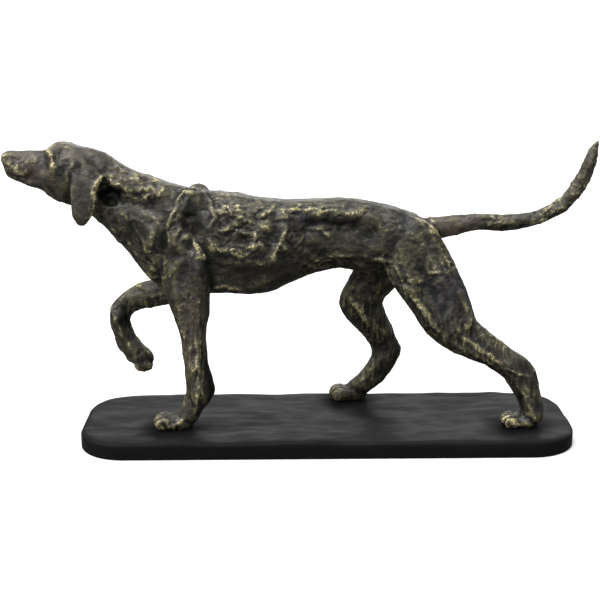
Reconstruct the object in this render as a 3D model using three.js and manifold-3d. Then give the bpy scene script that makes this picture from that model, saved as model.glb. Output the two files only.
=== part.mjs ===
// A hunting dog on point, cast in one piece, standing on a separate low plinth.
// Units are millimetres, +Z is up, the dog faces -X and the plinth's underside is at z = 0.

import * as THREE from 'three';
import { mergeVertices } from 'three/addons/utils/BufferGeometryUtils.js';
import Module from 'manifold-3d';

const wasm = await Module();
wasm.setup();

// Driving dimensions
const DOG_LENGTH = 500;
const PLINTH_THICKNESS = 15;
const PLINTH_CORNER_RADIUS = 40;
const PLINTH_TOP_ROUND = 4;
const PLINTH_FOOT_ROUND = 1;
const PLINTH_FRONT_MARGIN = 61.2;
const PLINTH_REAR_MARGIN = 29;
const PLINTH_LEFT_MARGIN = 25.5;
const PLINTH_RIGHT_MARGIN = 4.5;
const SEAT_GAP = 0.3;

// The figure is drawn in shares of its length: 500 shares from the nose to the tail tip.
const LENGTH_SHARES = 500;
const SHARE = DOG_LENGTH / LENGTH_SHARES;

// How finely each form is faceted: points round a section, and rings from one section to the next.
const TRUNK_FACETS = { around: 28, between: 2.1 };
const LIMB_FACETS = { around: 14, between: 1.5 };
const TAIL_FACETS = { around: 8, between: 2 };
const EAR_FACETS = { around: 10, between: 1.5 };
const PAW_FACETS = { around: 10, rings: 6 };
const TOE_FACETS = { around: 8, rings: 4 };

// The columns of every table of sections below. A section is an oval that spans the limb or body
// in side view from its upper or front point to its lower or rear point, in shares, measured from
// the plinth's centre and top. across is the offset from the dog's middle plane and half the half
// width. square is 2 for a true oval and more for a boxier one, lean widens the upper side, or the
// lower side where it is negative, and curl turns the rear edge outwards.
const COLUMNS = ['frontX', 'frontZ', 'rearX', 'rearZ', 'across', 'half', 'square', 'lean', 'curl'];

// Nose, muzzle, skull, neck, chest, loin and rump
const TRUNK = [
  [-269.3, 229.0, -268.9, 224.0, 0, 4.5, 2.2, 0.0, 0],
  [-267.4, 231.0, -268.0, 217.5, 0, 8.2, 2.3, 0.1, 0],
  [-262.4, 232.0, -264.4, 209.9, 0, 9.6, 2.5, 0.0, 0],
  [-254.0, 232.2, -255.9, 205.6, 0, 10.0, 2.6, -0.05, 0],
  [-245.8, 232.4, -248.5, 202.6, 0, 10.4, 2.6, -0.08, 0],
  [-237.5, 232.6, -240.3, 200.8, 0, 11.2, 2.5, -0.08, 0],
  [-232.8, 233.2, -236.2, 199.0, 0, 12.6, 2.4, 0.0, 0],
  [-228.0, 236.4, -232.0, 194.6, 0, 15.0, 2.3, 0.1, 0],
  [-221.8, 239.2, -227.5, 191.0, 0, 17.2, 2.2, 0.12, 0],
  [-212.5, 238.0, -219.6, 187.6, 0, 18.4, 2.2, 0.1, 0],
  [-203.0, 235.4, -211.6, 184.7, 0, 18.6, 2.1, 0.08, 0],
  [-192.6, 233.4, -203.4, 181.0, 0, 17.6, 2.1, 0.0, 0],
  [-181.6, 228.2, -194.2, 174.6, 0, 17.0, 2.1, -0.05, 0],
  [-168.8, 219.8, -182.6, 161.4, 0, 17.6, 2.1, -0.08, 0],
  [-153.4, 212.6, -170.4, 148.2, 0, 19.4, 2.1, -0.08, 0],
  [-136.5, 206.8, -158.4, 132.8, 0, 22.2, 2.2, -0.05, 0],
  [-117.6, 201.2, -143.8, 117.8, 0, 24.4, 2.2, 0.0, 0],
  [-99.0, 198.4, -114.8, 111.2, 0, 25.6, 2.2, 0.0, 0],
  [-80.0, 196.4, -84.0, 109.6, 0, 26.2, 2.2, 0.0, 0],
  [-51.4, 191.6, -51.6, 109.4, 0, 25.6, 2.2, 0.05, 0],
  [-34.7, 190.4, -33.5, 117.1, 0, 24.0, 2.2, 0.08, 0],
  [-17.9, 190.4, -16.4, 124.5, 0, 21.6, 2.2, 0.12, 0],
  [-1.1, 191.0, 0.7, 129.6, 0, 19.8, 2.2, 0.14, 0],
  [15.7, 190.6, 16.1, 130.6, 0, 19.4, 2.2, 0.12, 0],
  [32.5, 188.8, 33.2, 126.6, 0, 20.6, 2.2, 0.1, 0],
  [49.4, 185.6, 52.8, 128.0, 0, 22.6, 2.2, 0.08, 0],
  [63.8, 181.6, 69.8, 133.4, 0, 22.0, 2.2, 0.0, 0],
  [76.6, 175.8, 84.4, 141.0, 0, 18.4, 2.1, 0.0, 0],
  [86.6, 171.6, 93.4, 151.0, 0, 11.5, 2.0, 0.0, 0],
];

const LEFT_FORELEG = [
  [-116.0, 198.6, -106.0, 198.2, -9.6, 2.6, 1.9, 0, 0],
  [-125.0, 191.0, -98.6, 190.4, -12.0, 7.6, 1.8, 0, 0],
  [-134.0, 177.0, -92.6, 176.0, -14, 11.2, 1.7, 0, 0],
  [-142.0, 155.7, -92.6, 155.5, -15.6, 13.2, 1.7, 0, 0],
  [-140.4, 133.1, -95.6, 130.3, -18.0, 12.6, 1.8, 0, 0],
  [-135.0, 111.8, -98.1, 111.5, -20.4, 11.0, 2.1, 0, 0],
  [-129.5, 96.3, -99.3, 96.1, -22, 10.2, 2.1, 0, 0],
  [-124.8, 81.1, -101.0, 81.0, -24, 9.4, 2.1, 0, 0],
  [-122.1, 65.0, -100.6, 64.8, -26, 8.8, 2.2, 0, 0],
  [-120.3, 49.6, -98.3, 49.5, -28, 8.8, 2.2, 0, 0],
  [-119.6, 36.9, -95.5, 36.7, -30, 9.4, 2.2, 0, 0],
  [-121.1, 27.4, -97.4, 25.0, -31, 9.0, 2.2, 0, 0],
  [-124.0, 18.0, -106.0, 14.6, -32, 8.6, 2.1, 0, 0],
  [-129.0, 11.0, -111.4, 4.4, -32, 8.0, 2.0, 0, 0],
  [-127.0, 6.6, -117.0, 3.4, -32, 4.6, 2.0, 0, 0],
];

const RIGHT_FORELEG = [
  [-113.0, 197.0, -105.0, 196.0, 10, 3.0, 2.0, 0, 0],
  [-124.0, 180.0, -93.0, 177.0, 13.6, 9.6, 2.0, 0, 0],
  [-129.0, 158.0, -90.0, 148.0, 15.6, 12.0, 2.0, 0, 0],
  [-122.0, 141.0, -98.0, 112.0, 17, 12.4, 2.0, 0, 0],
  [-126.3, 127.5, -118.3, 100.5, 18, 11.8, 2.1, 0, 0],
  [-145.9, 117.3, -136.2, 94.7, 20, 10.6, 2.1, 0, 0],
  [-156.0, 115.2, -151.3, 91.3, 21, 9.8, 2.1, 0, 0],
  [-167.3, 110.6, -161.5, 89.0, 22, 9.2, 2.1, 0, 0],
  [-179.6, 102.6, -167.6, 86.4, 22, 9.0, 2.1, 0, 0],
  [-187.6, 93.0, -170.6, 82.6, 22, 9.0, 2.1, 0, 0],
  [-190.2, 81.7, -171.4, 78.0, 22, 8.8, 2.1, 0, 0],
  [-188.3, 70.7, -169.0, 71.5, 22, 8.2, 2.1, 0, 0],
  [-184.6, 60.6, -165.4, 63.2, 22, 8.0, 2.1, 0, 0],
  [-178.0, 50.6, -160.0, 56.0, 22, 8.4, 2.0, 0, 0],
  [-171.6, 42.6, -158.4, 47.2, 22, 7.6, 2.0, 0, 0],
  [-167.0, 39.4, -160.4, 41.8, 22, 4.2, 2.0, 0, 0],
];

const LEFT_HINDLEG = [
  [57.0, 176.6, 68.0, 178.6, -8, 3.2, 1.8, 0, 0],
  [44.0, 165.0, 88.0, 170.6, -11, 11.0, 1.6, 0, 0],
  [44.0, 143.0, 100.4, 153.0, -13, 14.4, 1.7, 0, 0],
  [55.0, 119.8, 111.4, 130.0, -17, 13.9, 1.9, 0, 0],
  [68.5, 101.5, 118.8, 107.5, -20, 13.0, 2.1, 0, 0],
  [82.0, 83.8, 125.0, 93.0, -23, 11.6, 2.1, 0, 0],
  [96.6, 68.5, 133.0, 84.4, -25, 10.4, 2.1, 0, 0],
  [114.3, 59.7, 145.1, 75.4, -27, 9.4, 2.1, 0, 0],
  [133.1, 52.3, 157.2, 65.0, -28, 8.8, 2.1, 0, 0],
  [147.2, 43.4, 170.3, 57.0, -29, 8.8, 2.1, 0, 0],
  [154.2, 34.8, 176.9, 45.6, -30, 8.6, 2.1, 0, 0],
  [159.1, 26.6, 180.3, 32.0, -31, 8.2, 2.1, 0, 0],
  [163.4, 18.4, 184.0, 18.0, -32, 8.2, 2.1, 0, 0],
  [166.0, 9.4, 184.6, 7.0, -33, 8.6, 2.1, 0, 0],
  [169.0, 4.6, 180.0, 3.4, -33, 5.0, 2.0, 0, 0],
];

const RIGHT_HINDLEG = [
  [55.0, 175.6, 67.0, 176.0, 7.6, 3.2, 1.8, 0, 0],
  [38.0, 162.0, 86.0, 165.0, 11.6, 11.4, 1.6, 0, 0],
  [29.4, 139.0, 79.6, 141.5, 16.6, 14.4, 1.8, 0, 0],
  [21.4, 119.6, 69.5, 116.6, 21, 13.4, 2.1, 0, 0],
  [15.3, 105.4, 59.0, 104.2, 24, 12.4, 2.1, 0, 0],
  [11.9, 94.4, 51.6, 94.6, 26, 11.8, 2.1, 0, 0],
  [15.4, 84.6, 53.8, 85.2, 27, 11.0, 2.1, 0, 0],
  [23.9, 75.6, 57.0, 76.3, 29, 10.2, 2.1, 0, 0],
  [32.1, 64.8, 60.8, 67.4, 31, 9.4, 2.1, 0, 0],
  [38.7, 54.6, 65.0, 56.8, 32, 8.8, 2.1, 0, 0],
  [41.0, 45.1, 68.6, 46.2, 34, 8.8, 2.1, 0, 0],
  [39.6, 36.3, 64.0, 34.6, 35, 8.6, 2.1, 0, 0],
  [33.4, 26.3, 57.2, 22.6, 36, 8.4, 2.1, 0, 0],
  [26.0, 19.0, 49.0, 13.4, 37, 8.4, 2.1, 0, 0],
  [21.0, 13.6, 41.4, 7.0, 38, 8.4, 2.1, 0, 0],
  [23.0, 8.6, 35.4, 4.6, 38, 5.0, 2.0, 0, 0],
];

const LEFT_EAR = [
  [-203.0, 229.4, -182.0, 215.0, -12.5, 3.0, 2.2, 0, 0],
  [-206.4, 222.6, -182.6, 211.0, -17, 3.2, 2.2, 0, -1],
  [-208.8, 212.0, -185.4, 206.4, -20.6, 3.0, 2.3, 0, -3],
  [-211.0, 199.0, -188.8, 196.6, -22.6, 2.8, 2.3, 0, -4],
  [-210.6, 187.6, -190.4, 185.4, -23.4, 2.6, 2.2, 0, -3],
  [-208.8, 178.4, -195.0, 177.4, -23.4, 2.4, 2.0, 0, -1],
  [-205.4, 172.8, -199.4, 172.6, -22.8, 1.6, 2.0, 0, 0],
];

// The tail's middle line in side view, with its radius at each point
const TAIL = [
  [72.0, 163.0, 10.4],
  [92.0, 164.6, 9.6],
  [109.0, 167.2, 8.8],
  [128.0, 170.2, 7.3],
  [150.0, 169.6, 6.8],
  [172.6, 172.0, 6.4],
  [190.0, 178.4, 6.2],
  [203.0, 187.8, 6.4],
  [211.6, 200.4, 6.4],
  [217.6, 212.0, 6.0],
  [221.6, 225.6, 4.6],
  [225.0, 234.4, 2.6],
  [226.8, 238.6, 0.9],
];

// The paws. heel is the rear end of the sole at the middle of its width, droop the angle in
// radians by which the toes point down from -X, and the rest the paw's own box.
const PAWS = [
  { heel: [-112.4, -32, 0], droop: 0, length: 36.4, width: 25, height: 13.5, planted: true },
  { heel: [181.0, -33, 0], droop: 0, length: 34.0, width: 24, height: 11.5, planted: true },
  { heel: [39.0, 38, 0], droop: 0, length: 36.0, width: 24, height: 14.5, planted: true },
  { heel: [-162.4, 22, 58.4], droop: 1.96, length: 26, width: 21, height: 19, planted: false },
];
const TOE_COUNT = 4;

// Rounded lumps set on the lofted forms: centre and the three half sizes, in shares
const LUMPS = [
  { name: 'nose pad', centre: [-264.6, 0, 226.0], half: [5.6, 7.2, 4.8] },
  { name: 'right shoulder blade', centre: [-108.0, 11.0, 194.6], half: [10.0, 7.0, 8.0] },
  { name: 'left stopper pad', centre: [-98.6, -30.0, 33.0], half: [4.0, 6.0, 7.0] },
];

// Carved ridges and hollows, as strokes seen from the side. height is how far the stroke stands
// out, or sinks in where it is negative, and width how broad it is. Both sides carry them.
const TRUNK_STROKES = [
  { name: 'mouth', path: [[-262, 212.5], [-251, 209], [-240, 211]], width: 2.6, height: -1.8 },
  { name: 'lip', path: [[-260, 225], [-257, 217], [-251, 213.5]], width: 3.2, height: 1.2 },
  { name: 'cheek', path: [[-230, 211], [-221, 203]], width: 7, height: 1.6 },
  { name: 'brow', path: [[-227, 234], [-226, 227], [-223.5, 219]], width: 3.2, height: 2.8 },
  { name: 'stop', path: [[-234, 230], [-232, 220]], width: 3.4, height: -2.0 },
  { name: 'eye socket', path: [[-219, 231], [-216, 221]], width: 3.6, height: -2.4 },
  { name: 'eye', path: [[-217.6, 227.4], [-216.6, 227]], width: 2.2, height: 2.6 },
  { name: 'cheekbone', path: [[-218, 219], [-208, 219]], width: 3.6, height: 1.8 },
  { name: 'throat', path: [[-212, 192], [-198, 187]], width: 6, height: -2.0 },
  { name: 'behind the ear', path: [[-184, 204], [-178, 196]], width: 8, height: -3.4 },
  { name: 'neck crest', path: [[-178, 211], [-150, 203], [-132, 198]], width: 6, height: 2.6 },
  { name: 'neck hollow', path: [[-174, 194], [-150, 190], [-134, 186]], width: 7, height: -3.2 },
  { name: 'breast', path: [[-146, 174], [-150, 152], [-146, 136]], width: 6, height: 2.8 },
  { name: 'breast hollow', path: [[-160, 168], [-163, 150]], width: 7, height: -2.4 },
  { name: 'first rib', path: [[-97, 166], [-84, 150], [-68, 147]], width: 6.6, height: 2.8 },
  { name: 'second rib', path: [[-68, 147], [-58, 154], [-57, 170]], width: 6.6, height: 2.8 },
  { name: 'rib hollow', path: [[-76, 173], [-72, 160]], width: 8, height: -3.2 },
  { name: 'last rib', path: [[-34, 172], [-37, 158], [-48, 142]], width: 6.6, height: 2.8 },
  { name: 'rib notch', path: [[-46, 172], [-48, 156]], width: 6, height: -2.6 },
  { name: 'loin edge', path: [[-90, 182], [-30, 183], [2, 182], [36, 179]], width: 6, height: 2.2 },
  { name: 'flank', path: [[-22, 171], [6, 169], [36, 167]], width: 8, height: -3.6 },
  { name: 'lower chest', path: [[-92, 132], [-60, 130]], width: 9, height: -2.2 },
  { name: 'groin fold', path: [[6, 149], [26, 143], [46, 143]], width: 6, height: 2.4 },
  { name: 'belly edge', path: [[-97, 119], [-83, 117], [-69, 115]], width: 5, height: 1.6 },
];

const SHOULDER_STROKES = [
  {
    name: 'shoulder blade rim',
    path: [[-131, 160], [-127, 184], [-119, 194], [-111, 198], [-103, 196], [-96, 187], [-96, 165]],
    width: 5.6,
    height: 3.8,
  },
  { name: 'shoulder hollow', path: [[-114, 186], [-113, 164]], width: 8, height: -5.0 },
  { name: 'upper arm', path: [[-119, 163], [-110, 152], [-104, 138]], width: 7, height: 3.4 },
  { name: 'arm hollow', path: [[-126, 152], [-120, 130]], width: 7, height: -3.4 },
  { name: 'front of the arm', path: [[-128, 128], [-121, 100]], width: 6, height: 2.2 },
  { name: 'forearm edge', path: [[-110, 90], [-107, 60], [-108, 28]], width: 4.4, height: 1.6 },
  { name: 'forearm groove', path: [[-103, 88], [-101, 52]], width: 4.4, height: -2.0 },
];

const HIND_STROKES = [
  { name: 'thigh front', path: [[57, 141], [65, 125], [79, 106], [95, 88]], width: 7, height: 4.2 },
  { name: 'thigh rear', path: [[90, 145], [106, 119], [116, 94]], width: 7, height: 3.8 },
  { name: 'thigh hollow', path: [[76, 140], [88, 118], [103, 99]], width: 8, height: -4.8 },
  { name: 'shin', path: [[112, 74], [138, 59], [160, 48]], width: 5, height: 2.0 },
  { name: 'calf hollow', path: [[116, 84], [140, 68]], width: 5, height: -1.8 },
  { name: 'hock tendon', path: [[160, 38], [169, 25], [176, 8]], width: 5, height: 2.0 },
];

const RIGHT_HIND_STROKES = [
  { name: 'knee', path: [[22, 100], [32, 87], [42, 77], [53, 66]], width: 6, height: 2.8 },
  { name: 'thigh hollow', path: [[50, 132], [42, 112]], width: 9, height: -3.4 },
  { name: 'hock tendon', path: [[50, 42], [41, 30], [30, 17]], width: 4.4, height: 1.4 },
];

// The maker's dabs of clay: low lumps all over, given by their length, rise and height in shares
const DABS = { long: 4.6, tall: 3.7, swirl: 8.0, height: 1.0 };

// The distance in side view from a point to a stroke's path
function distanceToPath(x, z, path) {
  let nearest = Infinity;
  for (let i = 0; i < path.length - 1; i++) {
    const [ax, az] = path[i];
    const [bx, bz] = path[i + 1];
    const runX = bx - ax;
    const runZ = bz - az;
    const along = ((x - ax) * runX + (z - az) * runZ) / (runX * runX + runZ * runZ);
    const t = THREE.MathUtils.clamp(along, 0, 1);
    nearest = Math.min(nearest, Math.hypot(x - ax - t * runX, z - az - t * runZ));
  }
  return nearest;
}

// How far the carving stands out at a point: the strokes are strongest on the flanks and fade to
// the middle plane, and the dabs are spread evenly over the part that is carved
function carving(x, z, sideways, strokes) {
  let height = 0;
  for (const stroke of strokes) {
    const distance = distanceToPath(x, z, stroke.path) / stroke.width;
    height += stroke.height * Math.exp(-distance * distance);
  }
  const { long, tall, swirl } = DABS;
  const dab = Math.sin(x / long + Math.sin(z / swirl)) * Math.sin(z / tall + Math.sin(x / swirl));
  return (height + DABS.height * dab) * Math.sqrt(Math.abs(sideways));
}

// A superellipse's coordinate: power 2 gives the plain sine or cosine
function boxed(value, square) {
  return Math.sign(value) * Math.pow(Math.abs(value), 2 / square);
}

// One ring of points round a section, with the carving added along the way out
function ring(section, around, strokes) {
  const s = Object.fromEntries(COLUMNS.map((name, i) => [name, section[i]]));
  const centre = new THREE.Vector3((s.frontX + s.rearX) / 2, s.across, (s.frontZ + s.rearZ) / 2);
  const up = new THREE.Vector3((s.frontX - s.rearX) / 2, 0, (s.frontZ - s.rearZ) / 2);
  const points = [];
  for (let j = 0; j < around; j++) {
    const angle = (2 * Math.PI * j) / around;
    const rise = boxed(Math.sin(angle), s.square);
    const sideways = boxed(Math.cos(angle), s.square);
    const rearShare = Math.max(0, -rise);
    const outward = up.clone().multiplyScalar(rise);
    outward.y += s.half * sideways * (1 + s.lean * rise);
    const point = centre.clone().add(outward);
    point.y += s.curl * rearShare * rearShare;
    point.addScaledVector(outward.normalize(), carving(point.x, point.z, sideways, strokes));
    points.push(point.multiplyScalar(SHARE));
  }
  return points;
}

// A closed body through a table of sections, smooth from one to the next, with flat ends
function loft(sections, facets, strokes = []) {
  const { around, between } = facets;
  const places = sections.map((_, i) => i);
  const spline = new THREE.CubicInterpolant(places, sections.flat(), COLUMNS.length);
  const lastPlace = sections.length - 1;
  const ringCount = Math.round(lastPlace * between) + 1;
  const rings = [];
  for (let i = 0; i < ringCount; i++) {
    const place = (i * lastPlace) / (ringCount - 1);
    rings.push(ring(Array.from(spline.evaluate(place)), around, strokes));
  }
  const middle = (points) => {
    const sum = new THREE.Vector3();
    points.forEach((point) => sum.add(point));
    return sum.divideScalar(points.length);
  };
  const vertices = [...rings.flat(), middle(rings[0]), middle(rings[ringCount - 1])];
  const firstMiddle = vertices.length - 2;
  const lastMiddle = vertices.length - 1;
  const triangles = [];
  for (let j = 0; j < around; j++) {
    const next = (j + 1) % around;
    triangles.push([firstMiddle, next, j]);
    for (let i = 0; i < ringCount - 1; i++) {
      const here = i * around;
      const there = here + around;
      triangles.push(...quad(vertices, here + j, here + next, there + next, there + j));
    }
    const last = (ringCount - 1) * around;
    triangles.push([last + j, last + next, lastMiddle]);
  }
  return closedGeometry(vertices, triangles);
}

// Two triangles for the four corners of a quad, split along its shorter diagonal
function quad(vertices, a, b, c, d) {
  const alongAC = vertices[a].distanceTo(vertices[c]) <= vertices[b].distanceTo(vertices[d]);
  return alongAC ? [[a, b, c], [a, c, d]] : [[a, b, d], [b, c, d]];
}

// A geometry from points and triangles, turned so that its faces point out
function closedGeometry(vertices, triangles) {
  let volume = 0;
  const normal = new THREE.Vector3();
  for (const [a, b, c] of triangles) {
    volume += vertices[a].dot(normal.crossVectors(vertices[b], vertices[c]));
  }
  const faces = volume < 0 ? triangles.map(([a, b, c]) => [a, c, b]) : triangles;
  const geometry = new THREE.BufferGeometry();
  geometry.setFromPoints(vertices);
  geometry.setIndex(faces.flat());
  return geometry;
}

// An ear or a limb on the other side of the middle plane
function mirrored(sections) {
  const across = COLUMNS.indexOf('across');
  const curl = COLUMNS.indexOf('curl');
  return sections.map((row) => row.map((value, i) => (i === across || i === curl ? -value : value)));
}

// A round section of given radius at each point of a middle line, square to that line
function roundSections(line) {
  return line.map(([x, z, radius], i) => {
    const [beforeX, beforeZ] = line[Math.max(i - 1, 0)];
    const [afterX, afterZ] = line[Math.min(i + 1, line.length - 1)];
    const run = Math.hypot(afterX - beforeX, afterZ - beforeZ);
    const upX = (-(afterZ - beforeZ) / run) * radius;
    const upZ = ((afterX - beforeX) / run) * radius;
    return [x + upX, z + upZ, x - upX, z - upZ, 0, radius, 2, 0, 0];
  });
}

// An egg-shaped lump, turned by an angle in side view
function lump(centre, half, facets, turn = 0) {
  const geometry = new THREE.SphereGeometry(1, facets.around, facets.rings);
  geometry.rotateX(Math.PI / 2);
  geometry.scale(...half.map((size) => size * SHARE));
  geometry.rotateY(turn);
  geometry.translate(...centre.map((place) => place * SHARE));
  return geometry;
}

// The body of a paw and its toes, with the middle toes a little ahead of the outer ones
function paw({ heel, droop, length, width, height }) {
  const pieces = [];
  const place = (along, aside, rise, half, facets) => {
    const x = -along * Math.cos(droop) - rise * Math.sin(droop);
    const z = -along * Math.sin(droop) + rise * Math.cos(droop);
    pieces.push(lump([heel[0] + x, heel[1] + aside, heel[2] + z], half, facets, -droop));
  };
  const body = [0.42 * length, 0.44 * width, 0.58 * height];
  place(0.42 * length, 0, 0.34 * height, body, PAW_FACETS);
  for (let i = 0; i < TOE_COUNT; i++) {
    const aside = ((i + 0.5) / TOE_COUNT - 0.5) * width * 0.92;
    const middle = 1 - Math.abs(aside) / (width / 2);
    const toe = [0.22 * length, (0.56 * width) / TOE_COUNT, 0.44 * height];
    place((0.68 + 0.12 * middle) * length, aside, (0.34 + 0.1 * middle) * height, toe, TOE_FACETS);
  }
  return pieces;
}

// A geometry as a solid that can be joined and cut
function solid(geometry) {
  const bare = geometry.clone();
  bare.deleteAttribute('normal');
  bare.deleteAttribute('uv');
  const merged = mergeVertices(bare);
  const mesh = new wasm.Mesh({
    numProp: 3,
    vertProperties: new Float32Array(merged.attributes.position.array),
    triVerts: new Uint32Array(merged.index.array),
  });
  return new wasm.Manifold(mesh);
}

// A solid's surface as a geometry for a mesh
function geometryOf(body) {
  const mesh = body.getMesh();
  const geometry = new THREE.BufferGeometry();
  geometry.setAttribute('position', new THREE.BufferAttribute(mesh.vertProperties, 3));
  geometry.setIndex(new THREE.BufferAttribute(mesh.triVerts, 1));
  return geometry;
}

// The whole dog as one casting, its soles cut flat at the height of the plinth's top
function dogGeometry() {
  const forms = [
    loft(TRUNK, TRUNK_FACETS, TRUNK_STROKES),
    loft(LEFT_FORELEG, LIMB_FACETS, SHOULDER_STROKES),
    loft(RIGHT_FORELEG, LIMB_FACETS),
    loft(LEFT_HINDLEG, LIMB_FACETS, HIND_STROKES),
    loft(RIGHT_HINDLEG, LIMB_FACETS, RIGHT_HIND_STROKES),
    loft(roundSections(TAIL), TAIL_FACETS),
    loft(LEFT_EAR, EAR_FACETS),
    loft(mirrored(LEFT_EAR), EAR_FACETS),
    ...LUMPS.map(({ centre, half }) => lump(centre, half, PAW_FACETS)),
    ...PAWS.flatMap(paw),
  ];
  const joined = forms.map(solid).reduce((whole, form) => whole.add(form));
  const ground = new THREE.BoxGeometry(DOG_LENGTH, DOG_LENGTH, DOG_LENGTH);
  ground.translate(0, 0, -DOG_LENGTH / 2);
  return geometryOf(joined.subtract(solid(ground)));
}

// Where the planted paws stand, before the dog is set on the plinth
function stance() {
  const planted = PAWS.filter((each) => each.planted);
  return {
    front: Math.min(...planted.map(({ heel, length }) => heel[0] - length)) * SHARE,
    rear: Math.max(...planted.map(({ heel }) => heel[0])) * SHARE,
    left: Math.min(...planted.map(({ heel, width }) => heel[1] - width / 2)) * SHARE,
    right: Math.max(...planted.map(({ heel, width }) => heel[1] + width / 2)) * SHARE,
  };
}

// A slab with rounded corners, a softly rounded top edge and a crisp lower edge
function plinthGeometry(length, depth) {
  const topRound = Math.min(PLINTH_TOP_ROUND, PLINTH_THICKNESS / 2);
  const radius = Math.min(PLINTH_CORNER_RADIUS, depth / 2 - 1);
  const cornerSteps = 7;
  const edgeSteps = 3;
  const outline = (inset) => {
    const points = [];
    const r = radius - inset;
    for (let corner = 0; corner < 4; corner++) {
      const sideX = corner === 0 || corner === 3 ? 1 : -1;
      const sideY = corner < 2 ? 1 : -1;
      for (let i = 0; i <= cornerSteps; i++) {
        const angle = (Math.PI / 2) * (corner + i / cornerSteps);
        const x = sideX * (length / 2 - radius) + r * Math.cos(angle);
        const y = sideY * (depth / 2 - radius) + r * Math.sin(angle);
        points.push([x, y]);
      }
    }
    return points;
  };
  const levels = [{ inset: PLINTH_FOOT_ROUND, height: 0 }, { inset: 0, height: PLINTH_FOOT_ROUND }];
  for (let i = 0; i <= edgeSteps; i++) {
    const angle = (Math.PI / 2) * (i / edgeSteps);
    const inset = topRound * (1 - Math.cos(angle));
    levels.push({ inset, height: PLINTH_THICKNESS - topRound * (1 - Math.sin(angle)) });
  }
  const vertices = [];
  for (const { inset, height } of levels) {
    outline(inset).forEach(([x, y]) => vertices.push(new THREE.Vector3(x, y, height)));
  }
  const around = 4 * (cornerSteps + 1);
  vertices.push(new THREE.Vector3(0, 0, 0), new THREE.Vector3(0, 0, PLINTH_THICKNESS));
  const bottomMiddle = vertices.length - 2;
  const topMiddle = vertices.length - 1;
  const triangles = [];
  for (let j = 0; j < around; j++) {
    const next = (j + 1) % around;
    triangles.push([bottomMiddle, next, j]);
    for (let i = 0; i < levels.length - 1; i++) {
      const here = i * around;
      const there = here + around;
      triangles.push(...quad(vertices, here + j, here + next, there + next, there + j));
    }
    const last = (levels.length - 1) * around;
    triangles.push([last + j, last + next, topMiddle]);
  }
  return closedGeometry(vertices, triangles);
}

const BRONZE = new THREE.MeshStandardMaterial({ color: 0x4a4330, roughness: 0.45, metalness: 0.7 });
const BLACK = new THREE.MeshStandardMaterial({ color: 0x2b2b2d, roughness: 0.6, metalness: 0.1 });

const feet = stance();
const plinthLength = feet.rear - feet.front + PLINTH_FRONT_MARGIN + PLINTH_REAR_MARGIN;
const plinthDepth = feet.right - feet.left + PLINTH_LEFT_MARGIN + PLINTH_RIGHT_MARGIN;

const plinth = new THREE.Mesh(plinthGeometry(plinthLength, plinthDepth), BLACK);
plinth.name = 'plinth';

const dog = new THREE.Mesh(dogGeometry(), BRONZE);
dog.name = 'dog';
dog.position.set(
  PLINTH_FRONT_MARGIN - plinthLength / 2 - feet.front,
  PLINTH_LEFT_MARGIN - plinthDepth / 2 - feet.left,
  PLINTH_THICKNESS + SEAT_GAP,
);

const statue = new THREE.Group();
statue.name = 'hunting_dog_statue';
statue.add(plinth, dog);

export default statue;
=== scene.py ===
"""Hunting dog statue: a pointer cast in one piece, bronzed, on a low black plinth.

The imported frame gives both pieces. The dog is modelled over again in fine clay dabs on the frame's own
form, and the plinth gets its softly wavy top. Sizes are in millimetres in the row frame and are turned
into metres where a mesh is written. Table places are (x, across from the dog's mid-plane, height over
the paws' level), and a side view place is (x, height).
"""

import logging
import math
from abc import ABC, abstractmethod
from dataclasses import dataclass, field
from enum import Enum

import bpy
import numpy as np
from mathutils import Matrix, Vector, noise


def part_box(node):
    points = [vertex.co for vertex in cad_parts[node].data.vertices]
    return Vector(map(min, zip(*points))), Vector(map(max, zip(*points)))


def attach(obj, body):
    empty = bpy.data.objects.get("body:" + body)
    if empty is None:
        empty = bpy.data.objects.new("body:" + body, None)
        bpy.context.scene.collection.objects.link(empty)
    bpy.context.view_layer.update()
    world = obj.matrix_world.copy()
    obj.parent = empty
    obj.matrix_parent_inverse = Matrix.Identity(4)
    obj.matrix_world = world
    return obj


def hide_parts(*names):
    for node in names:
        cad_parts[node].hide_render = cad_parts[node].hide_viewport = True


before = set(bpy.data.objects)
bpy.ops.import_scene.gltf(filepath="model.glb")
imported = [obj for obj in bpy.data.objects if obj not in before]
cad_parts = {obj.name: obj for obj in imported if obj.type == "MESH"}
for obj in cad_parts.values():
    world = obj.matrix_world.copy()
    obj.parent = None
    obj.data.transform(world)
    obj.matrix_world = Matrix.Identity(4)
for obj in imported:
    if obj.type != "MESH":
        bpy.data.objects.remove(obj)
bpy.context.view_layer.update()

LOG = logging.getLogger("hunting_dog_statue")
MM = 0.001
MID_PLANE = 8.0
LEAN_SCATTER = (127.1, 311.7, 74.7)
LEAN_TURN = 53.9
LEVEL_SCATTER = (269.5, 183.3, 246.1)
BEND_SHIFT = 31.7
SIDE_EDGE = 0.25
FLANK_EDGE = 0.35
END_STRENGTH = 0.35
TAPER_WIDTHS = 2.0
ACROSS_FADE = 6.0
PRESS_FIRMNESS = 1.3
ZONE_REACH = 1.25
ZONE_FADE = 0.6

Numbers = np.ndarray
Place2 = tuple[float, float]
Place3 = tuple[float, float, float]
Colour = tuple[float, float, float]
Socket = bpy.types.NodeSocket
StrokeRows = dict[str, tuple[float | Place2, ...]]
Rows = dict[str, tuple[float, ...]]


def ease(value: Numbers) -> Numbers:
    """Returns value held between 0 and 1 and eased at both ends."""
    held = np.clip(value, 0.0, 1.0)
    return held * held * (3.0 - 2.0 * held)


def above(value: Numbers, start: float, fade: float) -> Numbers:
    """Returns 0 up to start, easing to 1 at start + fade."""
    return ease((value - start) / fade)


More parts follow.
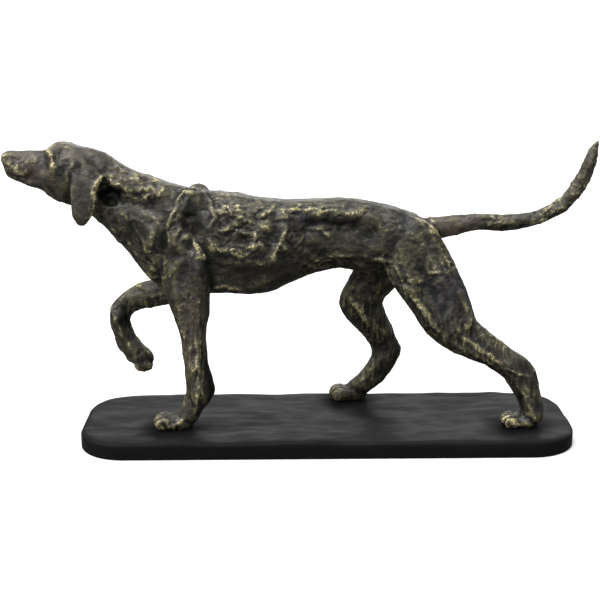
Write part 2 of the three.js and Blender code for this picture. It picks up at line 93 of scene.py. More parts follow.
def below(value: Numbers, start: float, fade: float) -> Numbers:
    """Returns 0 down to start, easing to 1 at start - fade."""
    return ease((start - value) / fade)


def between(value: Numbers, low: float, high: float, soft: float) -> Numbers:
    """Returns 1 well inside a band and 0 well outside it, with ends that fade over soft."""
    return ease((value - low) / soft + 0.5) * ease((high - value) / soft + 0.5)


def grain(places: Numbers, size: float, shift: float = 0.0) -> Numbers:
    """Gives smooth noise over a set of places.

    Args:
        places: Places in millimetres, one in each row.
        size: Width of one bump in millimetres.
        shift: Moves the pattern, so that two layers differ.

    Returns:
        Noise from about -1 to 1 at each place.
    """
    rows = (places / size + shift).tolist()
    return np.array([noise.noise(row) for row in rows])


def wander(places: Numbers, size: float, reach: float, shift: float) -> Numbers:
    """Moves places about at random, so that lines drawn over them look made by hand.

    Args:
        places: Places in millimetres, one in each row.
        size: Width of one bend.
        reach: Furthest that a place is moved.
        shift: Moves the pattern.

    Returns:
        The moved places.
    """
    moves = [grain(places, size, shift + BEND_SHIFT * axis) for axis in range(3)]
    return places + reach * np.stack(moves, axis=1)


class Facing(Enum):
    """Which side of the dog a stroke is made on."""

    LEFT = "left"
    RIGHT = "right"
    BOTH = "both"
    ALL = "all round"

    def share(self, across_normal: Numbers) -> Numbers:
        """Tells how squarely a surface faces this side.

        Args:
            across_normal: The part of each normal that points to the dog's right.

        Returns:
            1 where the surface faces the side and 0 where it faces away.
        """
        if self is Facing.LEFT:
            return below(across_normal, SIDE_EDGE, 2.0 * SIDE_EDGE)
        if self is Facing.RIGHT:
            return above(across_normal, -SIDE_EDGE, 2.0 * SIDE_EDGE)
        if self is Facing.ALL:
            return np.ones_like(across_normal)
        return above(np.abs(across_normal), 0.0, FLANK_EDGE)


@dataclass(frozen=True)
class Stroke:
    """A ridge laid on the clay, or a groove drawn into it, along a line in side view."""

    width: float
    height: float
    # Above 0 the stroke is gilded; below 0 shade is painted along it.
    tone: float
    path: tuple[Place2, ...]
    facing: Facing
    across: Place2

    def share(self, places: Numbers, across_normal: Numbers) -> Numbers:
        """Works out how strongly this stroke marks each place.

        Args:
            places: Table places, one in each row.
            across_normal: The part of each normal that points to the dog's right.

        Returns:
            1 along the middle of the stroke and 0 away from it.
        """
        glint_spots = places[:, (0, 2)]
        corners = np.array(self.path)
        spans = np.linalg.norm(np.diff(corners, axis=0), axis=1)
        starts = np.concatenate(([0.0], np.cumsum(spans)))
        nearest = np.full(len(glint_spots), np.inf)
        along = np.zeros(len(glint_spots))
        for first, last, span, start in zip(corners[:-1], corners[1:], spans, starts):
            run = np.clip((glint_spots - first) @ (last - first) / span**2, 0.0, 1.0)
            away = np.linalg.norm(glint_spots - first - run[:, None] * (last - first), axis=1)
            closer = away < nearest
            nearest = np.where(closer, away, nearest)
            along = np.where(closer, start + run * span, along)
        rest = np.minimum(along, starts[-1] - along)
        taper = END_STRENGTH + (1.0 - END_STRENGTH) * above(rest, 0.0, TAPER_WIDTHS * self.width)
        seen = self.facing.share(across_normal) * between(places[:, 1], *self.across, ACROSS_FADE)
        return np.exp(-((nearest / self.width) ** 2)) * taper * seen


@dataclass(frozen=True)
class Press:
    """A soft push of the palm, which moves one part of the figure a little."""

    centre: Place3
    radii: Place3
    move: Place3

    def moved(self, places: Numbers) -> Numbers:
        """Returns how far each place moves, all of it at the centre and nothing past the radii."""
        away = np.linalg.norm((places - self.centre) / self.radii, axis=1)
        return np.outer(ease(PRESS_FIRMNESS * (1.0 - away)), self.move)


@dataclass(frozen=True)
class Zone:
    """A part of the statue that is treated differently from the rest, by an amount."""

    centre: Place3
    radii: Place3
    amount: float

    def share(self, places: Numbers) -> Numbers:
        """Returns the amount at the middle of the zone, fading to 0 past its edge."""
        away = np.linalg.norm((places - self.centre) / self.radii, axis=1)
        return self.amount * below(away, ZONE_REACH, ZONE_FADE)


@dataclass(frozen=True)
class Patches:
    """A soft change from patch to patch between two strengths."""

    size: float
    shift: float
    middle: float
    contrast: float
    low: float = 0.0
    high: float = 1.0

    def over(self, places: Numbers) -> Numbers:
        """Returns the strength at each place."""
        share = ease(self.middle + self.contrast * grain(places, self.size, self.shift))
        return self.low + (self.high - self.low) * share


def drawn(facing: Facing, across: Place2, *tables: StrokeRows) -> tuple[Stroke, ...]:
    """Draws up the strokes that are made on one side.

    Args:
        facing: The side that they are made on.
        across: How far across the dog they reach.
        tables: Each stroke's width, height and tone, then the side view places on its path.

    Returns:
        The strokes, in order.
    """
    rows = [row for table in tables for row in table.values()]
    return tuple(Stroke(*row[:3], row[3:], facing, across) for row in rows)


def zones(rows: Rows) -> tuple[Zone, ...]:
    """Returns a zone for each row of a centre, three radii and an amount."""
    return tuple(Zone(row[:3], row[3:6], row[6]) for row in rows.values())


def presses(rows: Rows) -> tuple[Press, ...]:
    """Returns a push for each row of a centre, three radii and a move."""
    return tuple(Press(row[:3], row[3:6], row[6:]) for row in rows.values())


def overlaid(parts: tuple[Zone, ...], places: Numbers) -> Numbers:
    """Returns the strongest amount of any of a set of zones at each place."""
    return np.max([zone.share(places) for zone in parts], axis=0)


@dataclass(frozen=True)
class Layer(ABC):
    """A pattern laid over the whole figure, lying along the dog or standing up its legs."""

    long: float
    wide: float
    height: float
    shift: float
    turn_shift: float = 7.3

    @abstractmethod
    def pattern(self, scaled: Numbers) -> Numbers:
        """Returns the pattern at places in units of one dab or crest."""

    def shaped(self, pattern: Numbers) -> Numbers:
        """Returns the pattern as it is pressed."""
        return pattern

    def lift(self, places: Numbers, upright: Numbers) -> Numbers:
        """Works out how far this layer raises each place.

        Args:
            places: Table places, one in each row.
            upright: 1 where the pattern runs up and down, 0 where it runs along the dog.

        Returns:
            Height in millimetres at each place.
        """
        lying = self.pattern(places / (self.long, self.wide, self.wide) + self.shift)
        turned = self.shift + self.turn_shift
        standing = self.pattern(places / (self.wide, self.wide, self.long) + turned)
        return self.height * self.shaped(lying * (1.0 - upright) + standing * upright)


@dataclass(frozen=True)
class DabLayer(Layer):
    """One size of clay dab, pressed on side by side, each leaning its own way, with a seam round it."""

    seam_width: float = 0.22
    seam_depth: float = 0.35
    seam_lean: float = 0.45
    tilt: float = 1.5
    step: float = 0.45
    limit: float = 1.2

    def pattern(self, scaled: Numbers) -> Numbers:
        """Presses one dab into each cell.

        Args:
            scaled: Places in units of one dab.

        Returns:
            Height at each place, from about -1 to 1.
        """
        near = [noise.voronoi(row) for row in scaled.tolist()]
        first = np.array([found[0][0] for found in near])
        second = np.array([found[0][1] for found in near])
        centres = np.array([found[1][0][:] for found in near])
        lean = np.sin(centres * LEAN_SCATTER + centres[:, (1, 2, 0)] * LEAN_TURN)
        level = np.sin(centres @ np.array(LEVEL_SCATTER))
        plane = np.sum(lean * (scaled - centres), axis=1) * self.tilt + self.step * level
        flat = above(second - first, 0.0, self.seam_width)
        lean_share = self.seam_lean + (1.0 - self.seam_lean) * flat
        return np.clip(plane, -self.limit, self.limit) * lean_share - self.seam_depth * (1.0 - flat)


@dataclass(frozen=True)
class CrestLayer(Layer):
    """Thin wandering crests, as a modelling tool leaves between its pulls."""

    turn_shift: float = 5.9
    sharpness: float = 2.2
    rest_level: float = 0.2

    def pattern(self, scaled: Numbers) -> Numbers:
        """Returns noise with sharp crests, from 0 in the hollows to 1 on the crests."""
        return np.clip(1.0 - np.abs(grain(scaled, 1.0)) * self.sharpness, 0.0, 1.0)

    def shaped(self, pattern: Numbers) -> Numbers:
        """Returns the crests made thin, and lowered so that they add little all round."""
        return pattern**3 - self.rest_level


class Clay:
    """A closed surface held as arrays, so that it can be smoothed and modelled."""

    def __init__(self, mesh: bpy.types.Mesh) -> None:
        """Reads the points and edges of a mesh.

        Args:
            mesh: The mesh, which is written back to as the clay changes.
        """
        self.mesh = mesh
        flat = np.empty(len(mesh.vertices) * 3)
        mesh.vertices.foreach_get("co", flat)
        self.points = flat.reshape(-1, 3) / MM
        ends = np.empty(len(mesh.edges) * 2, dtype=np.int32)
        mesh.edges.foreach_get("vertices", ends)
        self.ends = ends.reshape(-1, 2)
        self.valence = np.bincount(ends, minlength=len(mesh.vertices)).astype(float)

    def neighbours(self, values: Numbers) -> Numbers:
        """Works out the mean of each point's neighbours.

        Args:
            values: One row for each point.

        Returns:
            The means, column by column.
        """
        first, second = self.ends.T
        count = len(self.valence)
        columns = []
        for column in values.T:
            total = np.bincount(first, weights=column[second], minlength=count)
            total += np.bincount(second, weights=column[first], minlength=count)
            columns.append(total / self.valence)
        return np.stack(columns, axis=1)

    def blurred(self, values: Numbers, rounds: int) -> Numbers:
        """Spreads values over the surface.

        Args:
            values: One row for each point.
            rounds: How many times each row is mixed with its neighbours.

        Returns:
            The spread values.
        """
        spread = values
        for _ in range(rounds):
            spread = 0.5 * spread + 0.5 * self.neighbours(spread)
        return spread

    def relax(self, rounds: int, hold: Numbers, shrink: float = 0.52, swell: float = 0.54) -> None:
        """Takes facets out of the surface and keeps its volume.

        Args:
            rounds: How many pairs of smoothing and swelling passes are made.
            hold: 0 where a point is smoothed fully and 1 where it stays.
            shrink: Strength of a smoothing pass.
            swell: Strength of a swelling pass.
        """
        loose = (1.0 - hold)[:, None]
        for _ in range(rounds):
            self.points += shrink * loose * (self.neighbours(self.points) - self.points)
            self.points -= swell * loose * (self.neighbours(self.points) - self.points)

    def normals(self) -> Numbers:
        """Writes the points to the mesh and reads its normals.

        Returns:
            The normal at each point.
        """
        self.write()
        flat = np.empty(len(self.points) * 3)
        self.mesh.vertex_normals.foreach_get("vector", flat)
        return flat.reshape(-1, 3)

    def standing_out(self, rounds: int) -> Numbers:
        """Returns how far each point stands out from its surroundings, spread over some rounds."""
        return np.sum((self.points - self.blurred(self.points, rounds)) * self.normals(), axis=1)

    def raised(self, height: Numbers) -> None:
        """Moves each point out along its normal by its own height."""
        self.points += self.normals() * height[:, None]

    def write(self) -> None:
        """Writes the points back to the mesh."""
        self.mesh.vertices.foreach_set("co", (self.points * MM).ravel())
        self.mesh.update()


def placed(name: str, data: bpy.types.ID) -> bpy.types.Object:
    """Puts a new object in the scene.

    Args:
        name: The object's name.
        data: The mesh, light or camera that it holds.

    Returns:
        The object.
    """
    item = bpy.data.objects.new(name, data)
    bpy.context.scene.collection.objects.link(item)
    return item


def store(mesh: bpy.types.Mesh, name: str, values: Numbers) -> None:
    """Keeps one number at each point of a mesh, for a finish to read."""
    layer = mesh.attributes.new(name, "FLOAT", "POINT")
    layer.data.foreach_set("value", values.astype(np.float32))


def preset(node: bpy.types.Node, values: dict[str, float | Place3]) -> None:
    """Sets plain numbers on a node's sockets, by socket name with _ for a space."""
    for name, value in values.items():
        node.inputs[name.replace("_", " ")].default_value = value


class Recipe:
    """A node material being put together."""

    def __init__(self, name: str) -> None:
        """Starts a material with its plain shader.

        Args:
            name: The material's name.
        """
        self.material = bpy.data.materials.new(name)
        self.material.use_nodes = True
        self.tree = self.material.node_tree
        self.shader = self.tree.nodes["Principled BSDF"]
        self.places = self.node("TexCoord").outputs["Object"]

    def plain(self, **values: float) -> None:
        """Sets plain numbers on the shader's own sockets, with _ for a space in a name."""
        preset(self.shader, values)

    def node(self, kind: str, **values: float | Place3) -> bpy.types.ShaderNode:
        """Adds a node.

        Args:
            kind: Blender's word for its kind.
            values: Plain numbers for its sockets, with _ for a space in a name.

        Returns:
            The node.
        """
        node = self.tree.nodes.new(f"ShaderNode{kind}")
        preset(node, values)
        return node

    def join(self, value: Socket, socket: Socket) -> None:
        """Leads a value to a socket."""
        self.tree.links.new(value, socket)

    def stored(self, name: str) -> Socket:
        """Reads numbers that are kept on the mesh.

        Args:
            name: The name that they are kept under.

        Returns:
            The numbers.
        """
        node = self.node("Attribute")
        node.attribute_name = name
        return node.outputs["Fac"]

    def noise(self, size: float, detail: float = 3.0, scale: Place3 = (1, 1, 1)) -> Socket:
        """Adds noise.

        Args:
            size: Width of one bump in millimetres.
            detail: How many finer layers are added.
            scale: Squeezes the pattern by axis.

        Returns:
            The noise, from 0 to 1.
        """
        mapping = self.node("Mapping", Scale=scale)
        self.join(self.places, mapping.inputs["Vector"])
        node = self.node("TexNoise", Scale=1.0 / (size * MM), Detail=detail, Roughness=0.6)
        self.join(mapping.outputs["Vector"], node.inputs["Vector"])
        return node.outputs["Fac"]

    def wisps(self, size: float, scale: Place3, line: Place2 = (0.004, 0.034)) -> Socket:
        """Draws thin wandering lines.

        Args:
            size: Distance from one line to the next in millimetres.
            scale: Squeezes the pattern by axis.
            line: Where a line is full and where it ends, away from its middle.

        Returns:
            1 along the lines and 0 between them.
        """
        centred = self.sum("SUBTRACT", self.noise(size, detail=4.0, scale=scale), 0.5)
        return self.span(self.sum("ABSOLUTE", centred, 0.0), *line, (1.0, 0.0))

    def span(self, value: Socket, low: float, high: float, to: Place2 = (0.0, 1.0)) -> Socket:
        """Turns one range of numbers into another and holds it there.

        Args:
            value: Numbers to turn.
            low: Start of the first range.
            high: End of the first range.
            to: The second range.

        Returns:
            The turned numbers.
        """
        node = self.node("MapRange", From_Min=low, From_Max=high, To_Min=to[0], To_Max=to[1])
        node.interpolation_type = "SMOOTHSTEP"
        self.join(value, node.inputs["Value"])
        return node.outputs["Result"]

    def sum(self, operation: str, first: Socket, second: Socket | float) -> Socket:
        """Works out one sum.

        Args:
            operation: The node's word for the sum, such as MULTIPLY.
            first: First number.
            second: Second number, a socket or a plain value.

        Returns:
            The result.
        """
        node = self.node("Math")
        node.operation = operation
        self.join(first, node.inputs[0])
        if isinstance(second, float):
            node.inputs[1].default_value = second
        else:
            self.join(second, node.inputs[1])
        return node.outputs["Value"]

    def mixed(self, share: Socket, first: Socket | Colour, second: Socket | Colour) -> Socket:
        """Mixes two colours.

        Args:
            share: 0 for the first colour and 1 for the second.
            first: A socket or a plain colour.
            second: A socket or a plain colour.

        Returns:
            The mixed colour.
        """
        node = self.node("Mix")
        node.data_type = "RGBA"
        self.join(share, node.inputs["Factor"])
        for name, colour in (("A", first), ("B", second)):
            socket = next(s for s in node.inputs if s.name == name and s.type == "RGBA")
            if isinstance(colour, tuple):
                socket.default_value = (*colour, 1.0)
            else:
                self.join(colour, socket)
        return next(s for s in node.outputs if s.type == "RGBA")

    def rough_skin(self, *heights: tuple[Socket, float]) -> None:
        """Lays fine relief on the shader's normal.

        Args:
            heights: Pairs of a height from 0 to 1 and its depth in millimetres.
        """
        last = None
        for height, depth in heights:
            node = self.node("Bump", Strength=1.0, Distance=depth * MM)
            self.join(height, node.inputs["Height"])
            if last is not None:
                self.join(last, node.inputs["Normal"])
            last = node.outputs["Normal"]
        self.feed("Normal", last)

    def feed(self, socket: str, value: Socket) -> None:
        """Leads a value to one of the shader's sockets."""
        self.join(value, self.shader.inputs[socket])


@dataclass(frozen=True)
class BronzeFinish:
    """Dark olive bronze paint, black in the recesses, with gold rubbed over the crests, painted shade, a
    painted bluish sheen in places and painted glints.

    Sizes and depths are in millimetres. The depths are those of the flecks, scratches and wisps. A pair
    named ..._range holds the two numbers between which a colour or a sheen comes in.
    """

    # hollow: near-black, the patina left in the recesses, and also the painted shade that the shade zones
    # and shaded strokes lay on.
    hollow: Colour = (0.0045, 0.0042, 0.0032)
    ground: Colour = (0.019, 0.0172, 0.0115)
    olive: Colour = (0.046, 0.0430, 0.0285)
    umber: Colour = (0.044, 0.033, 0.027)
    # A bluish purple-grey tint, painted in patches as sheen.
    painted_sheen: Colour = (0.045, 0.040, 0.052)
    brown: Colour = (0.078, 0.061, 0.050)
    rubbed: Colour = (0.165, 0.148, 0.074)
    gold: Colour = (0.74, 0.66, 0.36)
    mottle_size: float = 9.0
    umber_size: float = 21.0
    fleck_size: float = 1.6
    # Size, range and strength of the painted glints: tiny gold dots that stand in for specular glints.
    glint_size: float = 1.2
    scratch_size: float = 2.4
    sheen_size: float = 3.0
    wisp_sizes: Place2 = (6.5, 3.2)
    wisp_squeeze: Place3 = (0.7, 1.0, 1.0)
    fine_wisp_squeeze: Place3 = (1.0, 1.0, 0.7)
    scratch_squeeze: Place3 = (0.5, 1.4, 1.4)
    olive_range: Place2 = (0.38, 0.66)
    umber_range: Place2 = (0.50, 0.72)
    painted_sheen_range: Place2 = (0.30, 0.60)
    rubbed_range: Place2 = (0.25, 0.55)
    crest_range: Place2 = (0.35, 1.0)
    gold_fleck_range: Place2 = (0.42, 0.66)
    glint_range: Place2 = (0.60, 0.72)
    painted_shade_mask_range: Place2 = (0.30, 1.0)
    dull_range: Place2 = (0.50, 1.0)
    sheen_range: Place2 = (0.30, 0.70)
    wisp_strength: float = 0.85
    glint_strength: float = 0.45
    gold_metal: float = 0.5
    shade_metal: float = 0.85
    roughness: Place2 = (0.32, 0.50)
    hollow_roughness: float = 0.4
    depths: Place3 = (0.35, 0.30, 0.16)

    def material(self) -> bpy.types.Material:
        """Puts the dog's paint together, from the ground up to the gold.

        Returns:
            The material.
        """
        recipe = Recipe("bronze_finish")
        recipe.plain(IOR=1.5, Coat_Weight=0.08, Coat_Roughness=0.3)
        mottle = recipe.noise(self.mottle_size, detail=4.0)
        flecks = recipe.noise(self.fleck_size)
        base = recipe.mixed(recipe.span(mottle, *self.olive_range), self.ground, self.olive)
        umber = recipe.span(recipe.noise(self.umber_size), *self.umber_range)
        base = recipe.mixed(umber, base, self.umber)
        # Painted sheen: the bluish tint comes in over the sheen zones, patch by patch.
        painted_sheen_share = recipe.sum("MULTIPLY", recipe.stored("painted_sheen"), recipe.span(mottle, *self.painted_sheen_range))
        base = recipe.mixed(painted_sheen_share, base, self.painted_sheen)
        base = recipe.mixed(recipe.stored("brown"), base, self.brown)
        # The hollow colour goes in where the recesses hold patina and where shade is painted.
        hollow = recipe.stored("hollow")
        base = recipe.mixed(hollow, base, self.hollow)
        wisps = recipe.wisps(self.wisp_sizes[0], self.wisp_squeeze)
        fine_wisps = recipe.wisps(self.wisp_sizes[1], self.fine_wisp_squeeze)
        lines = recipe.sum("MAXIMUM", wisps, fine_wisps)
        gilding = recipe.stored("gilding")
        brushing = recipe.stored("brushing")
        brushed = recipe.sum("MULTIPLY", recipe.sum("MULTIPLY", brushing, lines), self.wisp_strength)
        rubbed = recipe.sum("MULTIPLY", gilding, recipe.span(flecks, *self.rubbed_range))
        base = recipe.mixed(recipe.sum("MAXIMUM", rubbed, brushed), base, self.rubbed)
        gold_flecks = recipe.span(flecks, *self.gold_fleck_range)
        crests = recipe.sum("MULTIPLY", recipe.span(gilding, *self.crest_range), gold_flecks)
        # Painted glints: tiny light dots of gold colour over the brushed parts, standing in for specular
        # glints.
        glint_spots = recipe.noise(self.glint_size, detail=2.0)
        painted_glints = recipe.span(glint_spots, *self.glint_range, (0.0, self.glint_strength))
        gold_and_glints = recipe.sum("MAXIMUM", crests, recipe.sum("MULTIPLY", painted_glints, brushing))
        recipe.feed("Base Color", recipe.mixed(gold_and_glints, base, self.gold))
        gold_metal = recipe.span(gold_and_glints, 0.0, 1.0, (0.0, self.gold_metal))
        # Painted shade: where shade is painted, the paint also turns metallic, so that its near-black
        # colour takes the reflection away too.
        shade_metal = recipe.span(recipe.stored("painted_shade_mask"), *self.painted_shade_mask_range, (0.0, self.shade_metal))
        recipe.feed("Metallic", recipe.sum("MAXIMUM", gold_metal, shade_metal))
        sheen = recipe.span(recipe.noise(self.sheen_size, detail=2.0), *self.sheen_range, self.roughness)
        dull = recipe.span(hollow, *self.dull_range, (0.0, self.hollow_roughness))
        recipe.feed("Roughness", recipe.sum("ADD", sheen, dull))
        scratches = recipe.noise(self.scratch_size, detail=2.0, scale=self.scratch_squeeze)
        recipe.rough_skin(*zip((flecks, scratches, lines), self.depths))
        return recipe.material


@dataclass(frozen=True)
class PlinthFinish:
    """Charcoal black paint with a satin skin and faint brushed streaks along the slab, with painted shadow
    round the paws and painted shade towards the front.
    """

    charcoal: Colour = (0.0094, 0.0094, 0.0095)
    worn: Colour = (0.0140, 0.0139, 0.0137)
    # Near-black painted shadow round each paw.
    painted_paw_shadow: Colour = (0.0020, 0.0020, 0.0021)
    streak_size: float = 9.0
    cloud_size: float = 46.0
    pore_size: float = 1.2
    streak_squeeze: Place3 = (0.3, 1.0, 1.0)
    cloud_squeeze: Place3 = (0.6, 1.0, 1.0)
    noise_range: Place2 = (0.35, 0.65)
    roughness: Place2 = (0.36, 0.54)
    shaded_roughness: float = 0.20
    paw_shadow_roughness: float = 0.25
    depths: Place3 = (0.40, 0.80, 0.10)

    def material(self) -> bpy.types.Material:
        """Puts the plinth's paint together.

        Returns:
            The material.
        """
        recipe = Recipe("black_plinth")
        recipe.plain(IOR=1.45, Specular_IOR_Level=0.07)
        streaks = recipe.noise(self.streak_size, detail=6.0, scale=self.streak_squeeze)
        cloud = recipe.noise(self.cloud_size, detail=4.0, scale=self.cloud_squeeze)
        shaded = recipe.stored("shaded")
        painted_paw_shadow = recipe.stored("painted_paw_shadow")
        # Painted shade: towards the front the slab keeps the charcoal, and the lighter worn colour comes in
        # by patches only further back.
        wear_and_shade = recipe.sum("SUBTRACT", recipe.span(cloud, *self.noise_range), shaded)
        coat = recipe.mixed(wear_and_shade, self.charcoal, self.worn)
        # Painted shadow: the paint goes near-black round each paw.
        recipe.feed("Base Color", recipe.mixed(painted_paw_shadow, coat, self.painted_paw_shadow))
        rough = recipe.span(streaks, *self.noise_range, self.roughness)
        rough = recipe.sum("ADD", rough, recipe.sum("MULTIPLY", shaded, self.shaded_roughness))
        rough = recipe.sum("ADD", rough, recipe.sum("MULTIPLY", painted_paw_shadow, self.paw_shadow_roughness))
        recipe.feed("Roughness", rough)
        pores = recipe.noise(self.pore_size, detail=2.0)
        recipe.rough_skin(*zip((streaks, cloud, pores), self.depths))
        return recipe.material


@dataclass(frozen=True)
class FloorFinish:
    """Plain white paper."""

    paper: Colour = (0.92, 0.92, 0.92)
    shade: Colour = (0.90, 0.90, 0.90)
    fibre_size: float = 400.0

    def material(self) -> bpy.types.Material:
        """Puts the floor's paper together.

        Returns:
            The material.
        """
        recipe = Recipe("white_paper")
        recipe.plain(Roughness=0.9)
        fibres = recipe.noise(self.fibre_size, detail=2.0)
        recipe.feed("Base Color", recipe.mixed(fibres, self.paper, self.shade))
        return recipe.material


WHOLE = (-80.0, 80.0)
LEFT_HALF = (-80.0, 4.0)
RIGHT_HALF = (-4.0, 80.0)
LEFT_OF_NECK = (-16.0, 0.0)
RIGHT_OF_NECK = (0.0, 16.0)

HEAD: StrokeRows = {
    "brow front": (1.9, 1.6, 1, (-229, 236), (-227, 231), (-225, 225), (-224, 219)),
    "brow top": (1.8, 1, 0, (-228, 236), (-219, 238), (-210, 236)),
    "eye socket": (2.6, -1.1, -0.3, (-218, 230), (-212, 229)),
    "eyeball": (1.5, 0.8, 0.3, (-216, 228), (-213, 228)),
    "mouth": (1.3, -0.6, -0.2, (-259, 212), (-251, 208), (-245, 212)),
    "mouth corner": (2.6, 0.9, 0, (-243, 213), (-237, 214), (-231, 213)),
    "lip": (1.7, 0.8, 0.9, (-256, 229), (-255, 222), (-257, 214)),
    "cheek": (2, 0.7, 0.3, (-214, 217), (-214, 207)),
    "jaw": (2.2, -0.8, 0, (-233, 207), (-228, 200), (-221, 194)),
    "stop": (1.8, -0.2, 0, (-232, 234), (-231, 222), (-230, 212)),
    "ear fold": (1.5, 0.6, 0.3, (-209, 214), (-209, 222), (-205, 227)),
    "under the fold": (2.4, -0.9, -0.8, (-204, 225), (-202, 217)),
    "ear rim": (1.4, 1.6, 1, (-190, 191), (-190, 204), (-188, 210), (-183, 213), (-177, 212)),
    "jaw edge": (1.4, 0.9, 0.4, (-236, 207), (-231, 199), (-224, 193)),
    "crown ridge": (1.5, 0.7, 0.3, (-219, 240), (-205, 235), (-193, 230), (-185, 224)),
    "cheek line": (1.2, 0.5, 0.2, (-213, 219), (-213, 207)),
    "nostril": (1.6, -0.8, -0.8, (-262, 227), (-254, 228)),
    "ear's top crease": (1.1, -0.9, -0.4, (-198, 227), (-189, 221), (-182, 214), (-178, 211)),
}

NAPE: StrokeRows = {
    "nape ridge": (1.5, 1.1, 0, (-200, 234), (-197, 238), (-189, 234), (-180, 227), (-171, 217)),
}

NECK: StrokeRows = {
    "neck shelf": (2.4, 1.2, 0.4, (-176, 209), (-166, 202), (-149, 202), (-137, 200), (-129, 197)),
    "nape light": (2.2, 0.6, 1, (-152, 212), (-146, 210), (-139, 206)),
    "neck hole": (2.2, -1.9, -0.8, (-151, 208), (-147, 207)),
    "neck band": (3, 0.9, 0.3, (-172, 216), (-160, 210), (-146, 211), (-134, 205)),
    "throat ridge": (1.8, 0.8, 0.2, (-162, 175), (-155, 163), (-148, 149)),
    "neck light": (1.8, 1, 0.8, (-172, 189), (-169, 183), (-166, 177)),
    "neck arch": (1.5, 1.1, 0.5, (-149, 195), (-144, 199), (-136, 197)),
    "arch hollow": (3.2, -1.3, -0.6, (-147, 189), (-138, 190)),
}

# The hollow behind each ear is cut in and painted with shade.
BEHIND_EAR: StrokeRows = {
    "hollow edge": (1.6, 1, 0.6, (-180, 209), (-174, 206), (-166, 200)),
    "hollow": (6.5, -5.5, -1, (-187, 201), (-179, 198), (-173, 196)),
    "fall below": (8, -2.6, -0.8, (-188, 194), (-174, 189)),
}

SHOULDER: StrokeRows = {
    "arm ridge": (1.9, 2, 0.7, (-119, 163), (-113, 164), (-106, 154), (-101, 142)),
    "armpit hollow": (3.6, -2, -0.9, (-136, 161), (-135, 151)),
    "blade gold": (2.2, 1.1, 0.4, (-143, 181), (-140, 175), (-136, 170)),
    "front breast ridge": (1.5, 1.3, 0.6, (-143, 169), (-146, 152)),
    "rear breast ridge": (1.5, 1.1, 0.6, (-131, 169), (-130, 157)),
    "breast line": (2.2, 1.2, 0.55, (-166, 159), (-158, 147), (-151, 134), (-147, 125)),
    "breast hollow": (3, -0.8, -0.5, (-160, 162), (-152, 150), (-147, 138)),
}

NEAR_BLADE: StrokeRows = {
    "blade rim": (1.6, 2.6, 0.9, (-131, 170), (-127, 184), (-122, 194), (-115, 199), (-108, 200),
        (-102, 197), (-96, 190)),
    "blade rim rear": (1.8, 1.8, 0.1, (-96, 190), (-93, 180), (-97, 168)),
    "blade hollow": (6.5, -3, -0.7, (-115, 191), (-113, 184), (-116, 172)),
}

FAR_BLADE: StrokeRows = {
    "far blade rim": (2.4, 1.5, 0.35, (-126, 178), (-119, 191), (-110, 196), (-101, 193), (-95, 183)),
    "far blade hollow": (7.5, -1.4, -0.2, (-115, 191), (-113, 184), (-116, 172)),
}

RIBS: StrokeRows = {
    "first rib": (1.6, 1, 0.3, (-98, 163), (-92, 155), (-82, 150), (-72, 147), (-62, 151), (-57, 157)),
    "second rib": (1.6, 1.5, 0.9, (-58, 167), (-60, 161), (-60, 154)),
    "third rib": (1.6, 1.5, 0.9, (-35, 168), (-37, 159), (-44, 148), (-46, 143)),
    "first rib hollow": (4.5, -1.3, -0.7, (-71, 168), (-67, 155)),
    "second rib hollow": (4.5, -1.3, -0.6, (-50, 165), (-49, 152)),
    "saddle line": (2, 0.8, 0.2, (-92, 198), (-78, 195), (-63, 192)),
    "back light": (4.5, 0.2, 0.45, (-94, 191), (-80, 188), (-64, 186)),
    "gold patch": (2.4, 0.9, 0.5, (-90, 166), (-81, 172), (-71, 177)),
    "belly edge": (1.4, 0.9, 0.3, (-98, 119), (-86, 120), (-73, 116), (-65, 114)),
}

LOIN: StrokeRows = {
    "loin edge front": (2.1, 1.3, 0.6, (-56, 179), (-44, 184), (-31, 183), (-22, 186), (-14, 183)),
    "loin edge rear": (1.7, 0.8, 0.3, (-10, 180), (4, 184), (17, 180), (31, 183)),
    "short flank line": (1.5, 1.2, 0.8, (-14, 170), (-4, 168), (3, 161)),
    "rear flank line": (1.4, 0.9, 0.5, (12, 170), (24, 165)),
    "flank hollow": (4, -1.5, -0.8, (-24, 175), (-6, 174), (11, 173), (31, 172)),
    "flank fold": (2, 1.2, 0.4, (-6, 168), (1, 164), (4, 158)),
    "groin edge": (1.5, 1, 0.4, (7, 147), (19, 146), (42, 143)),
    "hip cross line": (2.4, 0.9, 0.2, (59, 171), (71, 165), (79, 156)),
    "tail root": (2.4, 0.7, 0, (87, 172), (105, 177), (128, 181)),
    "hip": (2.6, 1.1, -0.4, (41, 175), (46, 166)),
    "rump line": (2, 1, 0.5, (56, 188), (77, 174), (94, 163)),
    "rump back": (1.6, 0.8, 0.5, (84, 178), (96, 164), (102, 152)),
}

TAIL: StrokeRows = {
    "tail top": (1.6, 0.6, 0.3, (103, 177), (116, 179), (130, 177), (144, 174)),
    "tail bend": (1.5, 0.8, 0.6, (178, 176), (192, 186), (203, 199), (211, 212)),
    "tail underside": (2.2, -0.6, -0.6, (128, 166), (147, 165), (166, 167)),
    "tail tip": (1.6, 0.5, 0.3, (214, 206), (219, 221)),
}

